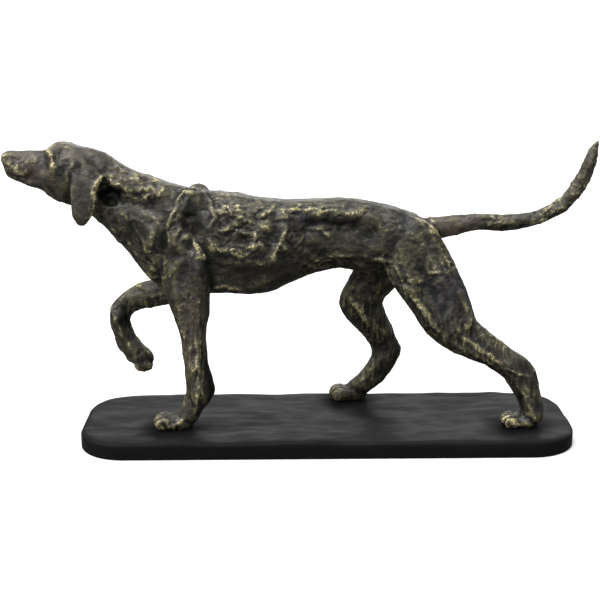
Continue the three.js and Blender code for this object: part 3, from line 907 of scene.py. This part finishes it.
NEAR_FORELEG: StrokeRows = {
    "front plane of the foreleg": (3.8, 0.7, 0.6, (-115, 76), (-115, 56), (-116, 36)),
    "tendon": (1.3, 0.7, 0.5, (-109, 78), (-109, 58), (-108, 40), (-110, 22)),
    "groove": (1.3, -0.8, -0.7, (-105, 74), (-104, 56), (-103, 42)),
    "elbow": (2.4, 1, 0.2, (-112, 114), (-104, 109), (-100, 105)),
    "arm veins": (1.8, 0.8, 0.3, (-125, 94), (-121, 83), (-117, 75)),
    "wrist": (1.8, 0.8, 0.3, (-114, 31), (-110, 22), (-113, 13)),
    "fore toe ridge": (1.6, 1.1, 1, (-120, 13), (-125, 7), (-133, 3), (-141, 3)),
    "fore paw top": (1.5, 0.6, 0.8, (-144, 12), (-140, 15), (-133, 13)),
    "outer toe crease": (1.1, -1.1, -0.9, (-139, 10), (-136, 1)),
    "inner toe crease": (1.1, -1.1, -0.9, (-130, 9), (-128, 0)),
}

RAISED_FORELEG: StrokeRows = {
    "raised shin": (1.7, 1.8, 1, (-186, 96), (-183, 80), (-178, 68), (-171, 57)),
    "raised shin hollow": (4, -1.8, -0.9, (-176, 98), (-174, 82), (-168, 68)),
    "raised arm": (2, 1, 1, (-179, 106), (-169, 110), (-156, 112)),
    "under the raised arm": (1.8, 1, 0.5, (-155, 104), (-146, 105), (-138, 109)),
    "raised paw front": (1.8, 0.9, 0.7, (-168, 54), (-168, 45)),
    "raised paw back": (1.8, 0.9, 0.4, (-160, 62), (-155, 56)),
    "raised paw hollow": (3, -0.7, -0.6, (-160, 54), (-156, 46)),
}

NEAR_HIND_LEG: StrokeRows = {
    "thigh front": (2.2, 1.4, 0.4, (57, 138), (62, 127), (68, 116), (76, 106), (84, 96), (92, 86)),
    "thigh back": (2, 1.3, 0.4, (94, 142), (102, 128), (109, 118), (114, 107), (118, 94),
        (117, 83)),
    "thigh hollow": (6, -1.2, 0, (81, 132), (94, 114), (107, 97)),
    "back thigh line": (1.6, 0.9, 0.5, (99, 147), (106, 133)),
    "knee line": (1.6, 0.9, 0.5, (106, 82), (108, 74), (113, 67)),
    "knee": (2.4, 0.9, 0.6, (108, 86), (116, 82)),
    "gaskin ridge": (1.7, 1.2, 0.4, (112, 79), (125, 70), (138, 61), (147, 54)),
    "gaskin groove": (2, -0.9, -0.4, (120, 80), (132, 71), (146, 60)),
    "hock line": (1.4, 1.3, 0.9, (147, 54), (160, 47), (171, 44), (174, 51)),
    "shin front": (1.6, 1, 0.6, (151, 41), (156, 25), (161, 12)),
    "shin tendon": (1.5, 1.3, 0.5, (165, 31), (169, 22), (172, 15), (176, 7)),
    "shin groove": (1.8, -1.2, -0.8, (160, 34), (164, 22), (167, 13)),
    "hock back": (1.8, 0.8, 0.3, (173, 52), (177, 43), (180, 31)),
    "hind toe ridge": (1.5, 0.9, 1, (150, 8), (156, 9), (162, 3), (169, 4)),
    "hind toe crease": (1.1, -1, -0.9, (153, 6), (157, 0)),
    "hind pastern": (3.5, 2.2, 0, (169, 10), (172, 3)),
}

FAR_HIND_LEG: StrokeRows = {
    "far thigh": (1.8, 1, 0.4, (21, 98), (32, 84), (41, 72)),
    "far knee": (2.4, 1, 0, (23, 98), (32, 87), (41, 78), (52, 66)),
    "far shin": (1.8, 1, 0.7, (49, 41), (42, 31), (31, 17)),
    "far toes": (2, 0.6, 0.7, (4, 13), (10, 17), (18, 18)),
}

STROKES = (
    drawn(Facing.BOTH, WHOLE, HEAD, NECK, SHOULDER, RIBS, LOIN, TAIL)
    + drawn(Facing.LEFT, LEFT_HALF, NEAR_BLADE, NEAR_FORELEG, NEAR_HIND_LEG)
    + drawn(Facing.RIGHT, RIGHT_HALF, FAR_BLADE)
    + drawn(Facing.BOTH, RIGHT_HALF, RAISED_FORELEG, FAR_HIND_LEG)
    + drawn(Facing.ALL, WHOLE, NAPE)
    + drawn(Facing.LEFT, LEFT_OF_NECK, BEHIND_EAR)
    + drawn(Facing.RIGHT, RIGHT_OF_NECK, BEHIND_EAR)
)

PRESSES = presses({
    "far shin front": (34, 24, 82, 28, 22, 30, -2.1, 0, -1.6),
    "far hock": (44, 24, 42, 20, 20, 24, 1, 0, 0),
    "far paw": (10, 24, 12, 14, 16, 13, 1, 0, 0.9),
    "near thigh back": (116, -12, 108, 16, 20, 24, 2.4, 0, 0),
    "near thigh front": (88, -12, 80, 26, 20, 28, -1.9, 0, -2.1),
    "near gaskin": (146, -12, 52, 28, 18, 20, -1, 0, -1),
    "raised shin": (-178, 20, 52, 13, 16, 15, -2.6, 0, -0.4),
    "raised paw sole": (-169, 20, 36, 13, 16, 9, 0, 0, 2.6),
    "raised paw back": (-151, 20, 41, 14, 16, 17, 1.7, 0, -1.2),
    "tail underside": (152, 0, 162, 34, 12, 10, 0, 0, -1.2),
    "tail tip": (222, 0, 233, 8, 10, 9, -0.9, 0, 0.6),
    "croup": (40, 0, 196, 56, 24, 14, 0, 0, 0.9),
    "poll": (-193, 0, 241, 11, 16, 8, 0, 0, 1.4),
    "throat": (-172, 0, 166, 30, 20, 34, 0.9, 0, 0.7),
    "foreleg front": (-121, -12, 56, 8, 20, 50, -1.2, 0, 0),
    "foreleg back": (-98, -12, 80, 9, 20, 44, 1.3, 0, 0),
})

CALM_ZONES = zones({
    "muzzle top": (-250, 0, 232, 22, 12, 7, 0.85),
    "cheeks": (-226, 0, 208, 18, 60, 16, 0.4),
    "skull": (-205, 0, 243, 26, 16, 8, 0.6),
    "behind the eye": (-196, 0, 228, 18, 60, 11, 0.75),
    "breast front": (-158, 0, 146, 14, 60, 24, 0.5),
    "left ear": (-205, -22, 195, 16, 12, 26, 0.75),
    "right ear": (-205, 22, 195, 16, 12, 26, 0.75),
    "neck side": (-158, 0, 174, 22, 60, 20, 0.45),
    "belly": (-60, 0, 130, 52, 60, 16, 0.6),
    "spine": (-20, 0, 196, 70, 12, 10, 0.5),
    "flank": (20, 0, 157, 46, 60, 14, 0.45),
    "rump": (80, 0, 158, 34, 60, 26, 0.5),
    "thigh": (96, -22, 112, 16, 16, 26, 0.5),
    "foreleg front": (-114, -20, 56, 9, 20, 36, 0.6),
    "foreleg back": (-98, -20, 46, 8, 20, 38, 0.8),
    "raised paw": (-160, 20, 48, 16, 20, 16, 0.6),
})

# Painted shade: near-black paint laid where shade falls on the figure: behind the ears, under the blade
# rims, in the armpits and behind the elbows, under the loin and belly, in the rib hollows, on the soles and
# heels, over the far hind leg and down the backs of the forelegs.
PAINTED_SHADE_ZONES = zones({
    "behind the left ear": (-180, -8, 195, 13, 12, 13, 1),
    "behind the right ear": (-180, 8, 195, 13, 12, 13, 1),
    "left ear top": (-204, -18, 220, 5, 10, 7, 0.7),
    "right ear top": (-204, 18, 220, 5, 10, 7, 0.7),
    "raised shin inside": (-176, 20, 84, 6, 30, 15, 0.6),
    "neck side": (-160, 0, 172, 14, 60, 18, 0.45),
    "under the near blade rim": (-112, -40, 178, 14, 34, 16, 0.9),
    "under the far blade rim": (-112, 40, 178, 14, 34, 16, 0.35),
    "armpit": (-134, 0, 154, 6, 60, 10, 0.6),
    "behind the elbow": (-99, 0, 132, 7, 60, 16, 0.6),
    "neck arch": (-142, 0, 192, 9, 60, 4, 0.6),
    "foreleg back": (-97, -20, 46, 9, 26, 40, 0.9),
    "under the loin": (0, 0, 174, 38, 60, 5, 0.5),
    "belly": (-62, 0, 133, 44, 60, 10, 0.4),
    "flank": (18, 0, 158, 44, 60, 12, 0.35),
    "first rib hollow": (-71, 0, 160, 8, 60, 9, 0.7),
    "second rib hollow": (-49, 0, 156, 6, 60, 9, 0.6),
    "third rib hollow": (-24, 0, 168, 10, 60, 7, 0.6),
    "raised paw sole": (-156, 20, 42, 10, 30, 10, 0.6),
    "far paw heel": (29, 24, 7, 9, 30, 9, 0.7),
    "far hind leg": (38, 26, 66, 24, 20, 46, 0.25),
    "near fore paw top": (-127, -24, 15, 11, 24, 7, 0.45),
    "near hind paw side": (168, -26, 6, 9, 24, 7, 0.4),
    "hip": (62, 0, 172, 14, 60, 14, 0.4),
})

GOLD_ZONES = zones({
    "muzzle side": (-254, 0, 218, 18, 60, 14, 0.8),
    "left ear rim": (-189, -20, 207, 6, 9, 10, 0.9),
    "temple": (-212, 0, 224, 8, 60, 9, 0.6),
    "raised arm": (-168, 20, 106, 20, 40, 14, 0.9),
    "brow": (-225, 0, 228, 6, 60, 10, 0.7),
    "neck band": (-150, 0, 208, 34, 60, 11, 0.9),
    "breast": (-137, 0, 172, 12, 60, 16, 0.5),
    "blade rim": (-120, 0, 196, 14, 60, 7, 0.7),
    "back": (-68, 0, 187, 40, 60, 12, 0.8),
    "loin": (-5, 0, 184, 44, 60, 7, 0.6),
    "thigh front": (76, -20, 112, 20, 40, 36, 0.7),
    "gaskin": (134, -20, 66, 28, 40, 18, 0.9),
    "foreleg": (-114, -20, 56, 7, 40, 34, 0.7),
    "near fore paw": (-132, -20, 6, 16, 40, 12, 0.45),
    "near hind paw": (162, -20, 6, 14, 40, 12, 0.45),
    "far hind paw": (16, 24, 12, 18, 30, 12, 0.5),
    "raised paw": (-173, 20, 46, 11, 40, 16, 0.7),
})

# Warm brown, the reddish tone of the bronze; on the jaw it is also painted light.
BROWN_ZONES = zones({
    "left ear": (-203, -22, 196, 13, 10, 20, 0.55),
    "right ear": (-203, 22, 196, 13, 10, 20, 0.55),
    "muzzle middle": (-243, 0, 224, 9, 60, 10, 0.7),
    "muzzle": (-250, 0, 218, 22, 60, 18, 0.8),
    "crown": (-203, 0, 236, 28, 60, 15, 0.55),
    # Painted light: on the jaw the lighter brown also lifts the shaded underside.
    "jaw": (-222, 0, 203, 18, 60, 10, 0.45),
    "neck top": (-160, 0, 218, 34, 60, 15, 0.5),
    "gaskin": (132, -20, 68, 28, 30, 18, 0.35),
    "raised arm": (-160, 20, 108, 26, 30, 12, 0.35),
    "upper foreleg": (-113, -24, 86, 13, 30, 32, 0.55),
    "tail root": (108, 0, 172, 26, 30, 12, 0.7),
    "tail end": (214, 0, 210, 14, 30, 34, 0.4),
})

# Painted sheen: patches of bluish purple-grey paint on the thigh, loin, flank and upper arm, standing in
# for the sheen of reflected light.
PAINTED_SHEEN_ZONES = zones({
    "thigh bloom": (96, -26, 118, 18, 18, 24, 1),
    "loin bloom": (68, -20, 178, 16, 22, 10, 0.9),
    "flank bloom": (-25, -24, 172, 18, 22, 14, 0.9),
    "upper arm bloom": (-107, -26, 146, 7, 22, 18, 1),
})


@dataclass
class Dog:
    """The whole figure, modelled in clay dabs on the frame's form and bronzed.

    A pair named ..._from holds the height, or the share of a full crest, where something starts and the
    stretch over which it grows. A triple named ..._bend holds a bend's width, its reach and its shift.
    """

    node: str = "dog"
    cell: float = 1.35
    relax_rounds: int = 14
    paw_hold: float = 0.35
    paws_from: Place2 = (26.0, 12.0)
    thin_from: Place2 = (60.0, 40.0)
    legs_from: Place2 = (112.0, 24.0)
    upright_from: Place2 = (128.0, 36.0)
    shoulder: Place3 = (-140.0, -98.0, 20.0)
    shoulder_upright: float = 0.7
    paw_thinning: float = 0.35
    upright_thinning: float = 0.4
    leg_thinning: float = 0.6
    top_relief: float = 0.3
    top_turn: float = 0.6
    dabs: tuple[DabLayer, ...] = (DabLayer(17.0, 11.0, 0.55, 3.1), DabLayer(7.5, 5.0, 0.34, 11.9))
    crests: tuple[CrestLayer, ...] = (
        CrestLayer(22.0, 13.0, 1.05, 2.0),
        CrestLayer(11.0, 7.0, 0.60, 23.0),
        CrestLayer(6.0, 3.8, 0.42, 47.0),
    )
    sinews: CrestLayer = CrestLayer(34.0, 5.0, 0.8, 71.0)
    dab_bend: Place3 = (11.0, 3.0, 5.0)
    sinew_bend: Place3 = (14.0, 2.0, 29.0)
    stroke_bend: Place3 = (9.0, 2.0, 17.0)
    skin_depth: float = 0.15
    skin: Place2 = (2.3, 40.0)
    worked: Patches = Patches(30.0, 61.0, 0.5, 1.3, low=0.45)
    broken: Patches = Patches(7.0, 83.0, 0.5, 1.6, low=0.5, high=1.2)
    gilt: Patches = Patches(6.0, 52.0, 0.35, 1.9)
    rubbed_patches: Patches = Patches(22.0, 9.0, 0.55, 1.1)
    far_gilding: float = 0.5
    tone_edge: float = 1.4
    near_rounds: int = 6
    far_rounds: int = 40
    even_rounds: int = 160
    near_share: float = 0.6
    full_crest: float = 96.0
    gold_from: Place2 = (0.12, 0.75)
    stroke_gold_from: Place2 = (-0.3, 1.0)
    brushing_from: Place2 = (-0.35, 0.6)
    hollow_from: Place2 = (0.08, 0.75)
    least_gold: float = 0.25
    shade_cover: float = 0.7
    brown_cover: float = 0.8
    finish: BronzeFinish = field(default_factory=BronzeFinish)

    def build(self) -> bpy.types.Object:
        """Models the dog and dresses it.

        Returns:
            The finished piece.
        """
        clay = Clay(self.fine_copy())
        paws = below(self.table(clay)[:, 2], *self.paws_from)
        clay.relax(self.relax_rounds, self.paw_hold * paws)
        self.push(clay)
        marks = self.model(clay)
        self.colour(clay, marks)
        piece = placed("bronze_dog", clay.mesh)
        clay.mesh.shade_smooth()
        clay.mesh.materials.clear()
        clay.mesh.materials.append(self.finish.material())
        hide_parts(self.node)
        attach(piece, "root")
        return piece

    def fine_copy(self) -> bpy.types.Mesh:
        """Copies the frame's dog into an even net of small faces.

        Returns:
            The new mesh.
        """
        copy = placed("dog_copy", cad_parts[self.node].data.copy())
        net = copy.modifiers.new("fine net", "REMESH")
        net.mode = "VOXEL"
        net.voxel_size = self.cell * MM
        graph = bpy.context.evaluated_depsgraph_get()
        mesh = bpy.data.meshes.new_from_object(copy.evaluated_get(graph))
        mesh.name = "bronze_dog"
        bpy.data.objects.remove(copy)
        return mesh

    def table(self, clay: Clay) -> Numbers:
        """Returns the clay's points as table places."""
        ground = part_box(self.node)[0][2] / MM
        return clay.points - (0.0, MID_PLANE, ground)

    def push(self, clay: Clay) -> None:
        """Pushes parts of the figure to where the photograph has them."""
        places = self.table(clay)
        clay.points += sum(press.moved(places) for press in PRESSES)

    def relief(self, places: Numbers, across_normal: Numbers) -> Numbers:
        """Lays the dabs, crests and sinews on.

        Args:
            places: Table places, one in each row.
            across_normal: The part of each normal that points to the dog's right.

        Returns:
            Height in millimetres at each place.
        """
        level = places[:, 2]
        legs = below(level, *self.legs_from)
        shoulder = self.shoulder_upright * between(places[:, 0], *self.shoulder)
        upright = np.maximum(below(level, *self.upright_from), shoulder)
        bent = wander(places, *self.dab_bend)
        dabs = sum(layer.lift(bent, upright) for layer in self.dabs)
        crests = sum(layer.lift(bent, upright) for layer in self.crests)
        height = dabs * (1.0 - self.upright_thinning * upright)
        height += crests * self.worked.over(places) * (1.0 - self.leg_thinning * legs)
        height += legs * self.sinews.lift(wander(places, *self.sinew_bend), np.ones(len(places)))
        for zone in CALM_ZONES:
            height *= 1.0 - zone.share(places)
        height *= 1.0 - self.paw_thinning * below(level, *self.thin_from)
        sides = above(np.abs(across_normal), 0.0, self.top_turn)
        return height * (self.top_relief + (1.0 - self.top_relief) * sides)

    def model(self, clay: Clay) -> Numbers:
        """Presses the dabs on and draws the strokes.

        Args:
            clay: The smooth figure.

        Returns:
            The strokes' tone at each point, above 0 where they are gilded and below 0 where shade is
            painted into them.
        """
        places = self.table(clay)
        across_normal = clay.normals()[:, 1]
        height = self.relief(places, across_normal)
        lined = wander(places, *self.stroke_bend)
        broken = self.broken.over(places)
        gilt = self.gilt.over(places) * np.where(places[:, 1] > 0.0, self.far_gilding, 1.0)
        marks = np.zeros(len(places))
        for stroke in STROKES:
            share = stroke.share(lined, across_normal)
            height += broken * stroke.height * share
            marks += stroke.tone * share**self.tone_edge * (gilt if stroke.tone > 0.0 else 1.0)
        clay.raised(height)
        clay.raised(self.skin_depth * grain(places, *self.skin))
        return np.clip(marks, -1.0, 1.0)

    def colour(self, clay: Clay, marks: Numbers) -> None:
        """Stores where the finish is gilded, black in the recesses or brown, and where shade and a bluish
        sheen are painted on.

        Args:
            clay: The modelled figure.
            marks: The strokes' tone at each point.
        """
        places = self.table(clay)
        near = clay.standing_out(self.near_rounds)
        far = clay.standing_out(self.far_rounds)
        far -= clay.blurred(far[:, None], self.even_rounds)[:, 0]
        crest = self.near_share * near / np.percentile(near, self.full_crest)
        crest += (1.0 - self.near_share) * far / np.percentile(far, self.full_crest)
        # Painted shade: the shade zones and the strokes with a negative tone, which also take the gold off.
        painted_shade = np.maximum(overlaid(PAINTED_SHADE_ZONES, places), -marks)
        brown = overlaid(BROWN_ZONES, places)
        patches = np.maximum(self.rubbed_patches.over(places), overlaid(GOLD_ZONES, places))
        gilding = above(crest, *self.gold_from) * (self.least_gold + (1.0 - self.least_gold) * patches)
        gilding += above(crest, *self.stroke_gold_from) * np.maximum(marks, 0.0)
        hollow = below(crest, *self.hollow_from) * (1.0 - self.brown_cover * brown)
        # The hollow colour holds both the patina in the recesses and the painted shade; the painted shade
        # mask also turns the paint metallic there, which takes the reflection away as painted shade.
        kept = {
            "gilding": np.clip(gilding, 0.0, 1.0) * (1.0 - self.shade_cover * painted_shade),
            "brushing": patches * above(crest, *self.brushing_from) * (1.0 - painted_shade),
            "hollow": np.maximum(hollow, painted_shade),
            "painted_shade_mask": painted_shade,
            "painted_sheen": overlaid(PAINTED_SHEEN_ZONES, places),
            "brown": brown,
        }
        for name, values in kept.items():
            store(clay.mesh, name, values)


@dataclass
class Plinth:
    """The black slab, with a softly wavy top that meets each paw.

    A wave is its width and its shift, and shaded_from is as in the dog, from the slab's front.
    """

    node: str = "plinth"
    stands_on_it: str = "dog"
    corner_radius: float = 40.0
    top_round: float = 4.0
    foot_round: float = 1.0
    side_levels: Place2 = (0.3, 0.5)
    corner_steps: int = 30
    side_steps: int = 120
    end_steps: int = 16
    round_steps: int = 6
    top_rings: int = 34
    middle_length: float = 0.88
    middle_width: float = 0.02
    wave: float = 1.8
    long_wave: Place2 = (30.0, 2.5)
    short_wave: Place2 = (12.0, 8.5)
    long_squeeze: Place3 = (0.55, 1.0, 1.0)
    short_squeeze: Place3 = (0.6, 1.0, 1.0)
    short_share: float = 0.4
    sunk: float = 0.4
    rises: tuple[Zone, ...] = zones({
        "behind the near hind leg": (129, 63, 0, 34, 12, 99, 1.3),
        "behind the near foreleg": (-124, 60, 0, 16, 12, 99, 0.6),
        "far right corner": (200, 42, 0, 18, 20, 99, 0.8),
    })
    sole_height: float = 2.5
    seat_gap: float = 0.4
    contact_reach: float = 9.0
    shade_reach: float = 20.0
    shaded_from: Place2 = (26.0, 44.0)
    finish: PlinthFinish = field(default_factory=PlinthFinish)

    def build(self) -> bpy.types.Object:
        """Builds the slab and dresses it.

        Returns:
            The finished piece.
        """
        low, high = (np.array(corner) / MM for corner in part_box(self.node))
        outline, inward = self.outline(low, high)
        side = self.profile(low[2], high[2])
        rings = [outline + inward * inset + (0, 0, height) for inset, height in side]
        edge = rings[-1]
        to_middle = self.middle_line(outline, low, high) - edge
        rings += [edge + to_middle * (step / self.top_rings) for step in range(1, self.top_rings)]
        points = np.concatenate(rings)
        paw_distance = self.paw_distance(points)
        shaded = below(points[:, 1] - low[1], *self.shaded_from)
        seat = below(paw_distance, self.contact_reach, self.contact_reach)
        points[:, 2] += self.waves(points, high[2], seat)
        mesh = bpy.data.meshes.new("black_slab")
        mesh.from_pydata((points * MM).tolist(), [], self.faces(len(rings), len(outline)))
        mesh.update()
        mesh.shade_smooth()
        # Painted shadow round the paws, and painted shade towards the slab's front.
        store(mesh, "painted_paw_shadow", below(paw_distance, self.shade_reach, self.shade_reach))
        store(mesh, "shaded", shaded)
        piece = placed("black_slab", mesh)
        mesh.materials.append(self.finish.material())
        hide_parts(self.node)
        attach(piece, "root")
        return piece

    def outline(self, low: Numbers, high: Numbers) -> tuple[Numbers, Numbers]:
        """Draws the slab's outline, seen from above.

        Args:
            low: Lowest corner of the slab.
            high: Highest corner of the slab.

        Returns:
            The outline's points at height 0, and the inward direction at each.
        """
        radius = self.corner_radius
        corners = np.array(((high[0], high[1]), (low[0], high[1]), (low[0], low[1]), (high[0], low[1])))
        centres = corners - radius * np.sign(corners - (low + high)[:2] / 2)
        middles, outward = [], []
        for turn, straight in enumerate((self.side_steps, self.end_steps) * 2):
            here, there = centres[turn], centres[(turn + 1) % 4]
            for step in range(self.corner_steps):
                angle = math.pi / 2 * (turn + step / (self.corner_steps - 1))
                middles.append(here)
                outward.append((math.cos(angle), math.sin(angle)))
            for step in range(1, straight):
                middles.append(here + (there - here) * (step / straight))
                outward.append(outward[-1])
        flat = np.zeros((len(middles), 1))
        away = np.hstack((outward, flat))
        return np.hstack((middles, flat)) + radius * away, -away

    def middle_line(self, outline: Numbers, low: Numbers, high: Numbers) -> Numbers:
        """Draws the narrow ring on the slab's middle line where its top closes.

        Args:
            outline: The outline's points.
            low: Lowest corner of the slab.
            high: Highest corner of the slab.

        Returns:
            The ring's point for each point of the outline.
        """
        reach = (high[0] - low[0]) / 2 - (high[1] - low[1]) / 2
        middle = (low + high) / 2
        closing = np.full_like(outline, high[2])
        closing[:, 0] = middle[0] + np.clip((outline[:, 0] - middle[0]) * self.middle_length, -reach, reach)
        closing[:, 1] = middle[1] + self.middle_width * (outline[:, 1] - middle[1])
        return closing

    def profile(self, bottom: float, top: float) -> list[Place2]:
        """Draws the slab's side, with both edges rounded.

        Args:
            bottom: Height of the underside.
            top: Height of the top.

        Returns:
            Pairs of an inset and a height, going up.
        """
        turn = [math.pi / 2 * step / self.round_steps for step in range(self.round_steps + 1)]
        foot, rim = self.foot_round, self.top_round
        steps = [(foot * (1 - math.sin(a)), bottom + foot * (1 - math.cos(a))) for a in turn]
        steps += [(0.0, bottom + (top - bottom) * share) for share in self.side_levels]
        steps += [(rim * (1 - math.cos(a)), top - rim * (1 - math.sin(a))) for a in turn]
        return steps

    def paw_distance(self, points: Numbers) -> Numbers:
        """Measures how far the slab's points lie from the soles, seen from above.

        Args:
            points: The slab's points.

        Returns:
            The distance from each point to the nearest sole.
        """
        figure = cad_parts[self.stands_on_it].data
        corners = np.array([corner.co[:] for corner in figure.vertices]) / MM
        soles = corners[corners[:, 2] < corners[:, 2].min() + self.sole_height, :2]
        away = [np.min(np.linalg.norm(soles - point, axis=1)) for point in points[:, :2]]
        return np.array(away)

    def waves(self, points: Numbers, top: float, seat: Numbers) -> Numbers:
        """Works out the gentle rise and fall of the slab's top.

        Args:
            points: The slab's points.
            top: Height of the slab's top.
            seat: 1 under a paw, where the slab meets the sole, and 0 away from the paws.

        Returns:
            How far each point is raised.
        """
        upper = above(points[:, 2], top - self.top_round, self.top_round)
        long_wave = grain(points * self.long_squeeze, *self.long_wave)
        short_wave = grain(points * self.short_squeeze, *self.short_wave)
        swell = self.wave * (long_wave + self.short_share * short_wave) - self.sunk
        swell += sum(rise.share(points) for rise in self.rises)
        return upper * (swell * (1.0 - seat) + self.seat_gap * seat)

    def faces(self, rings: int, around: int) -> list[list[int]]:
        """Joins the rings into faces, with one face for the underside and a strip along the middle.

        Args:
            rings: How many rings there are.
            around: How many points each ring has.

        Returns:
            The faces as lists of point numbers.
        """
        found = [list(range(around))[::-1]]
        for ring in range(rings - 1):
            for step in range(around):
                after = (step + 1) % around
                low, high = ring * around, (ring + 1) * around
                found.append([low + step, low + after, high + after, high + step])
        last_ring = (rings - 1) * around
        end = around - self.end_steps // 2
        for step in range(around // 2):
            back = [last_ring + (end + turn) % around for turn in (step, step + 1)]
            front = [last_ring + (end - turn) % around for turn in (step + 1, step)]
            found.append(list(dict.fromkeys(back + front)))
        return found


@dataclass(frozen=True)
class Lamp:
    """A soft rectangular light, with its size in millimetres and its strength in watts."""

    name: str
    place: Place3
    size: Place2
    power: float


@dataclass
class Studio:
    """White paper floor, a broad soft light overhead, a glow behind, a fill in front, and the camera."""

    floor_half: float = 40000.0
    target: Place3 = (-22.5, 0.0, 120.0)
    distance: float = 1017.0
    down: float = 0.25905
    heading: float = 0.00758
    roll: float = -0.00429
    lens: float = 71.65
    room_light: float = 0.18
    sky_power: float = 5.0
    sky_width: float = 1.3
    sky_from: Place3 = (-0.35, -0.2, 0.9)
    lamps: tuple[Lamp, ...] = (
        Lamp("back_glow", (500.0, 1450.0, 850.0), (2400.0, 900.0), 14.0),
        Lamp("front_fill", (-800.0, -1400.0, 1200.0), (800.0, 600.0), 7.0),
    )
    finish: FloorFinish = field(default_factory=FloorFinish)

    def build(self) -> None:
        """Sets out the floor, the lights and the camera."""
        self.floor()
        sky = self.light("overhead", "SUN", self.sky_power)
        sky.data.angle = self.sky_width
        sky.rotation_euler = Vector(self.sky_from).to_track_quat("Z", "Y").to_euler()
        for lamp in self.lamps:
            self.hang(lamp)
        self.room()
        self.camera()
        bpy.context.scene.view_settings.view_transform = "Standard"

    def floor(self) -> None:
        """Lays the floor under the slab."""
        half = self.floor_half * MM
        mesh = bpy.data.meshes.new("paper_floor")
        corners = [(-half, -half, 0), (half, -half, 0), (half, half, 0), (-half, half, 0)]
        mesh.from_pydata(corners, [], [(0, 1, 2, 3)])
        mesh.materials.append(self.finish.material())
        floor = placed("paper_floor", mesh)
        floor.visible_diffuse = False
        floor.visible_glossy = False

    def light(self, name: str, kind: str, power: float) -> bpy.types.Object:
        """Puts a light in the scene, as no part of the statue.

        Args:
            name: The light's name.
            kind: Blender's word for its kind.
            power: Its strength.

        Returns:
            The light.
        """
        data = bpy.data.lights.new(name, kind)
        data.energy = power
        light = placed(name, data)
        return light

    def hang(self, lamp: Lamp) -> None:
        """Hangs a lamp, turned to the statue.

        Args:
            lamp: Its name, place, size and power.
        """
        light = self.light(lamp.name, "AREA", lamp.power)
        light.data.shape = "RECTANGLE"
        light.data.size, light.data.size_y = (side * MM for side in lamp.size)
        light.location = Vector(lamp.place) * MM
        aim = Vector(self.target) * MM - light.location
        light.rotation_euler = aim.to_track_quat("-Z", "Y").to_euler()

    def room(self) -> None:
        """Fills the room with even white light, and lets the camera see it as white."""
        world = bpy.data.worlds.new("white_room")
        world.use_nodes = True
        tree = world.node_tree
        background = tree.nodes["Background"]
        background.inputs["Color"].default_value = (1.0, 1.0, 1.0, 1.0)
        seen = tree.nodes.new("ShaderNodeMapRange")
        seen.inputs["To Min"].default_value = self.room_light
        path = tree.nodes.new("ShaderNodeLightPath")
        tree.links.new(path.outputs["Is Camera Ray"], seen.inputs["Value"])
        tree.links.new(seen.outputs["Result"], background.inputs["Strength"])
        bpy.context.scene.world = world

    def camera(self) -> None:
        """Stands the camera where the photograph was taken from."""
        turn = Matrix.Rotation(-self.heading, 3, "Z")
        tilt = Matrix.Rotation(math.pi / 2 - self.down, 3, "X")
        twist = Matrix.Rotation(self.roll, 3, "Z")
        pose = (turn @ tilt @ twist).to_4x4()
        back = turn @ Vector((0.0, -math.cos(self.down), math.sin(self.down)))
        pose.translation = (Vector(self.target) + back * self.distance) * MM
        data = bpy.data.cameras.new("camera")
        data.lens = self.lens
        camera = placed("camera", data)
        camera.matrix_world = pose
        bpy.context.scene.camera = camera


def main() -> None:
    """Builds the statue piece by piece, then the studio round it."""
    logging.basicConfig(level=logging.INFO, format="%(name)s: %(message)s")
    for part in (Plinth(), Dog()):
        piece = part.build()
        LOG.info("%s: %d faces", piece.name, len(piece.data.polygons))
    Studio().build()
    LOG.info("studio: floor, three lights and the camera")


if __name__ == "__main__":
    main()
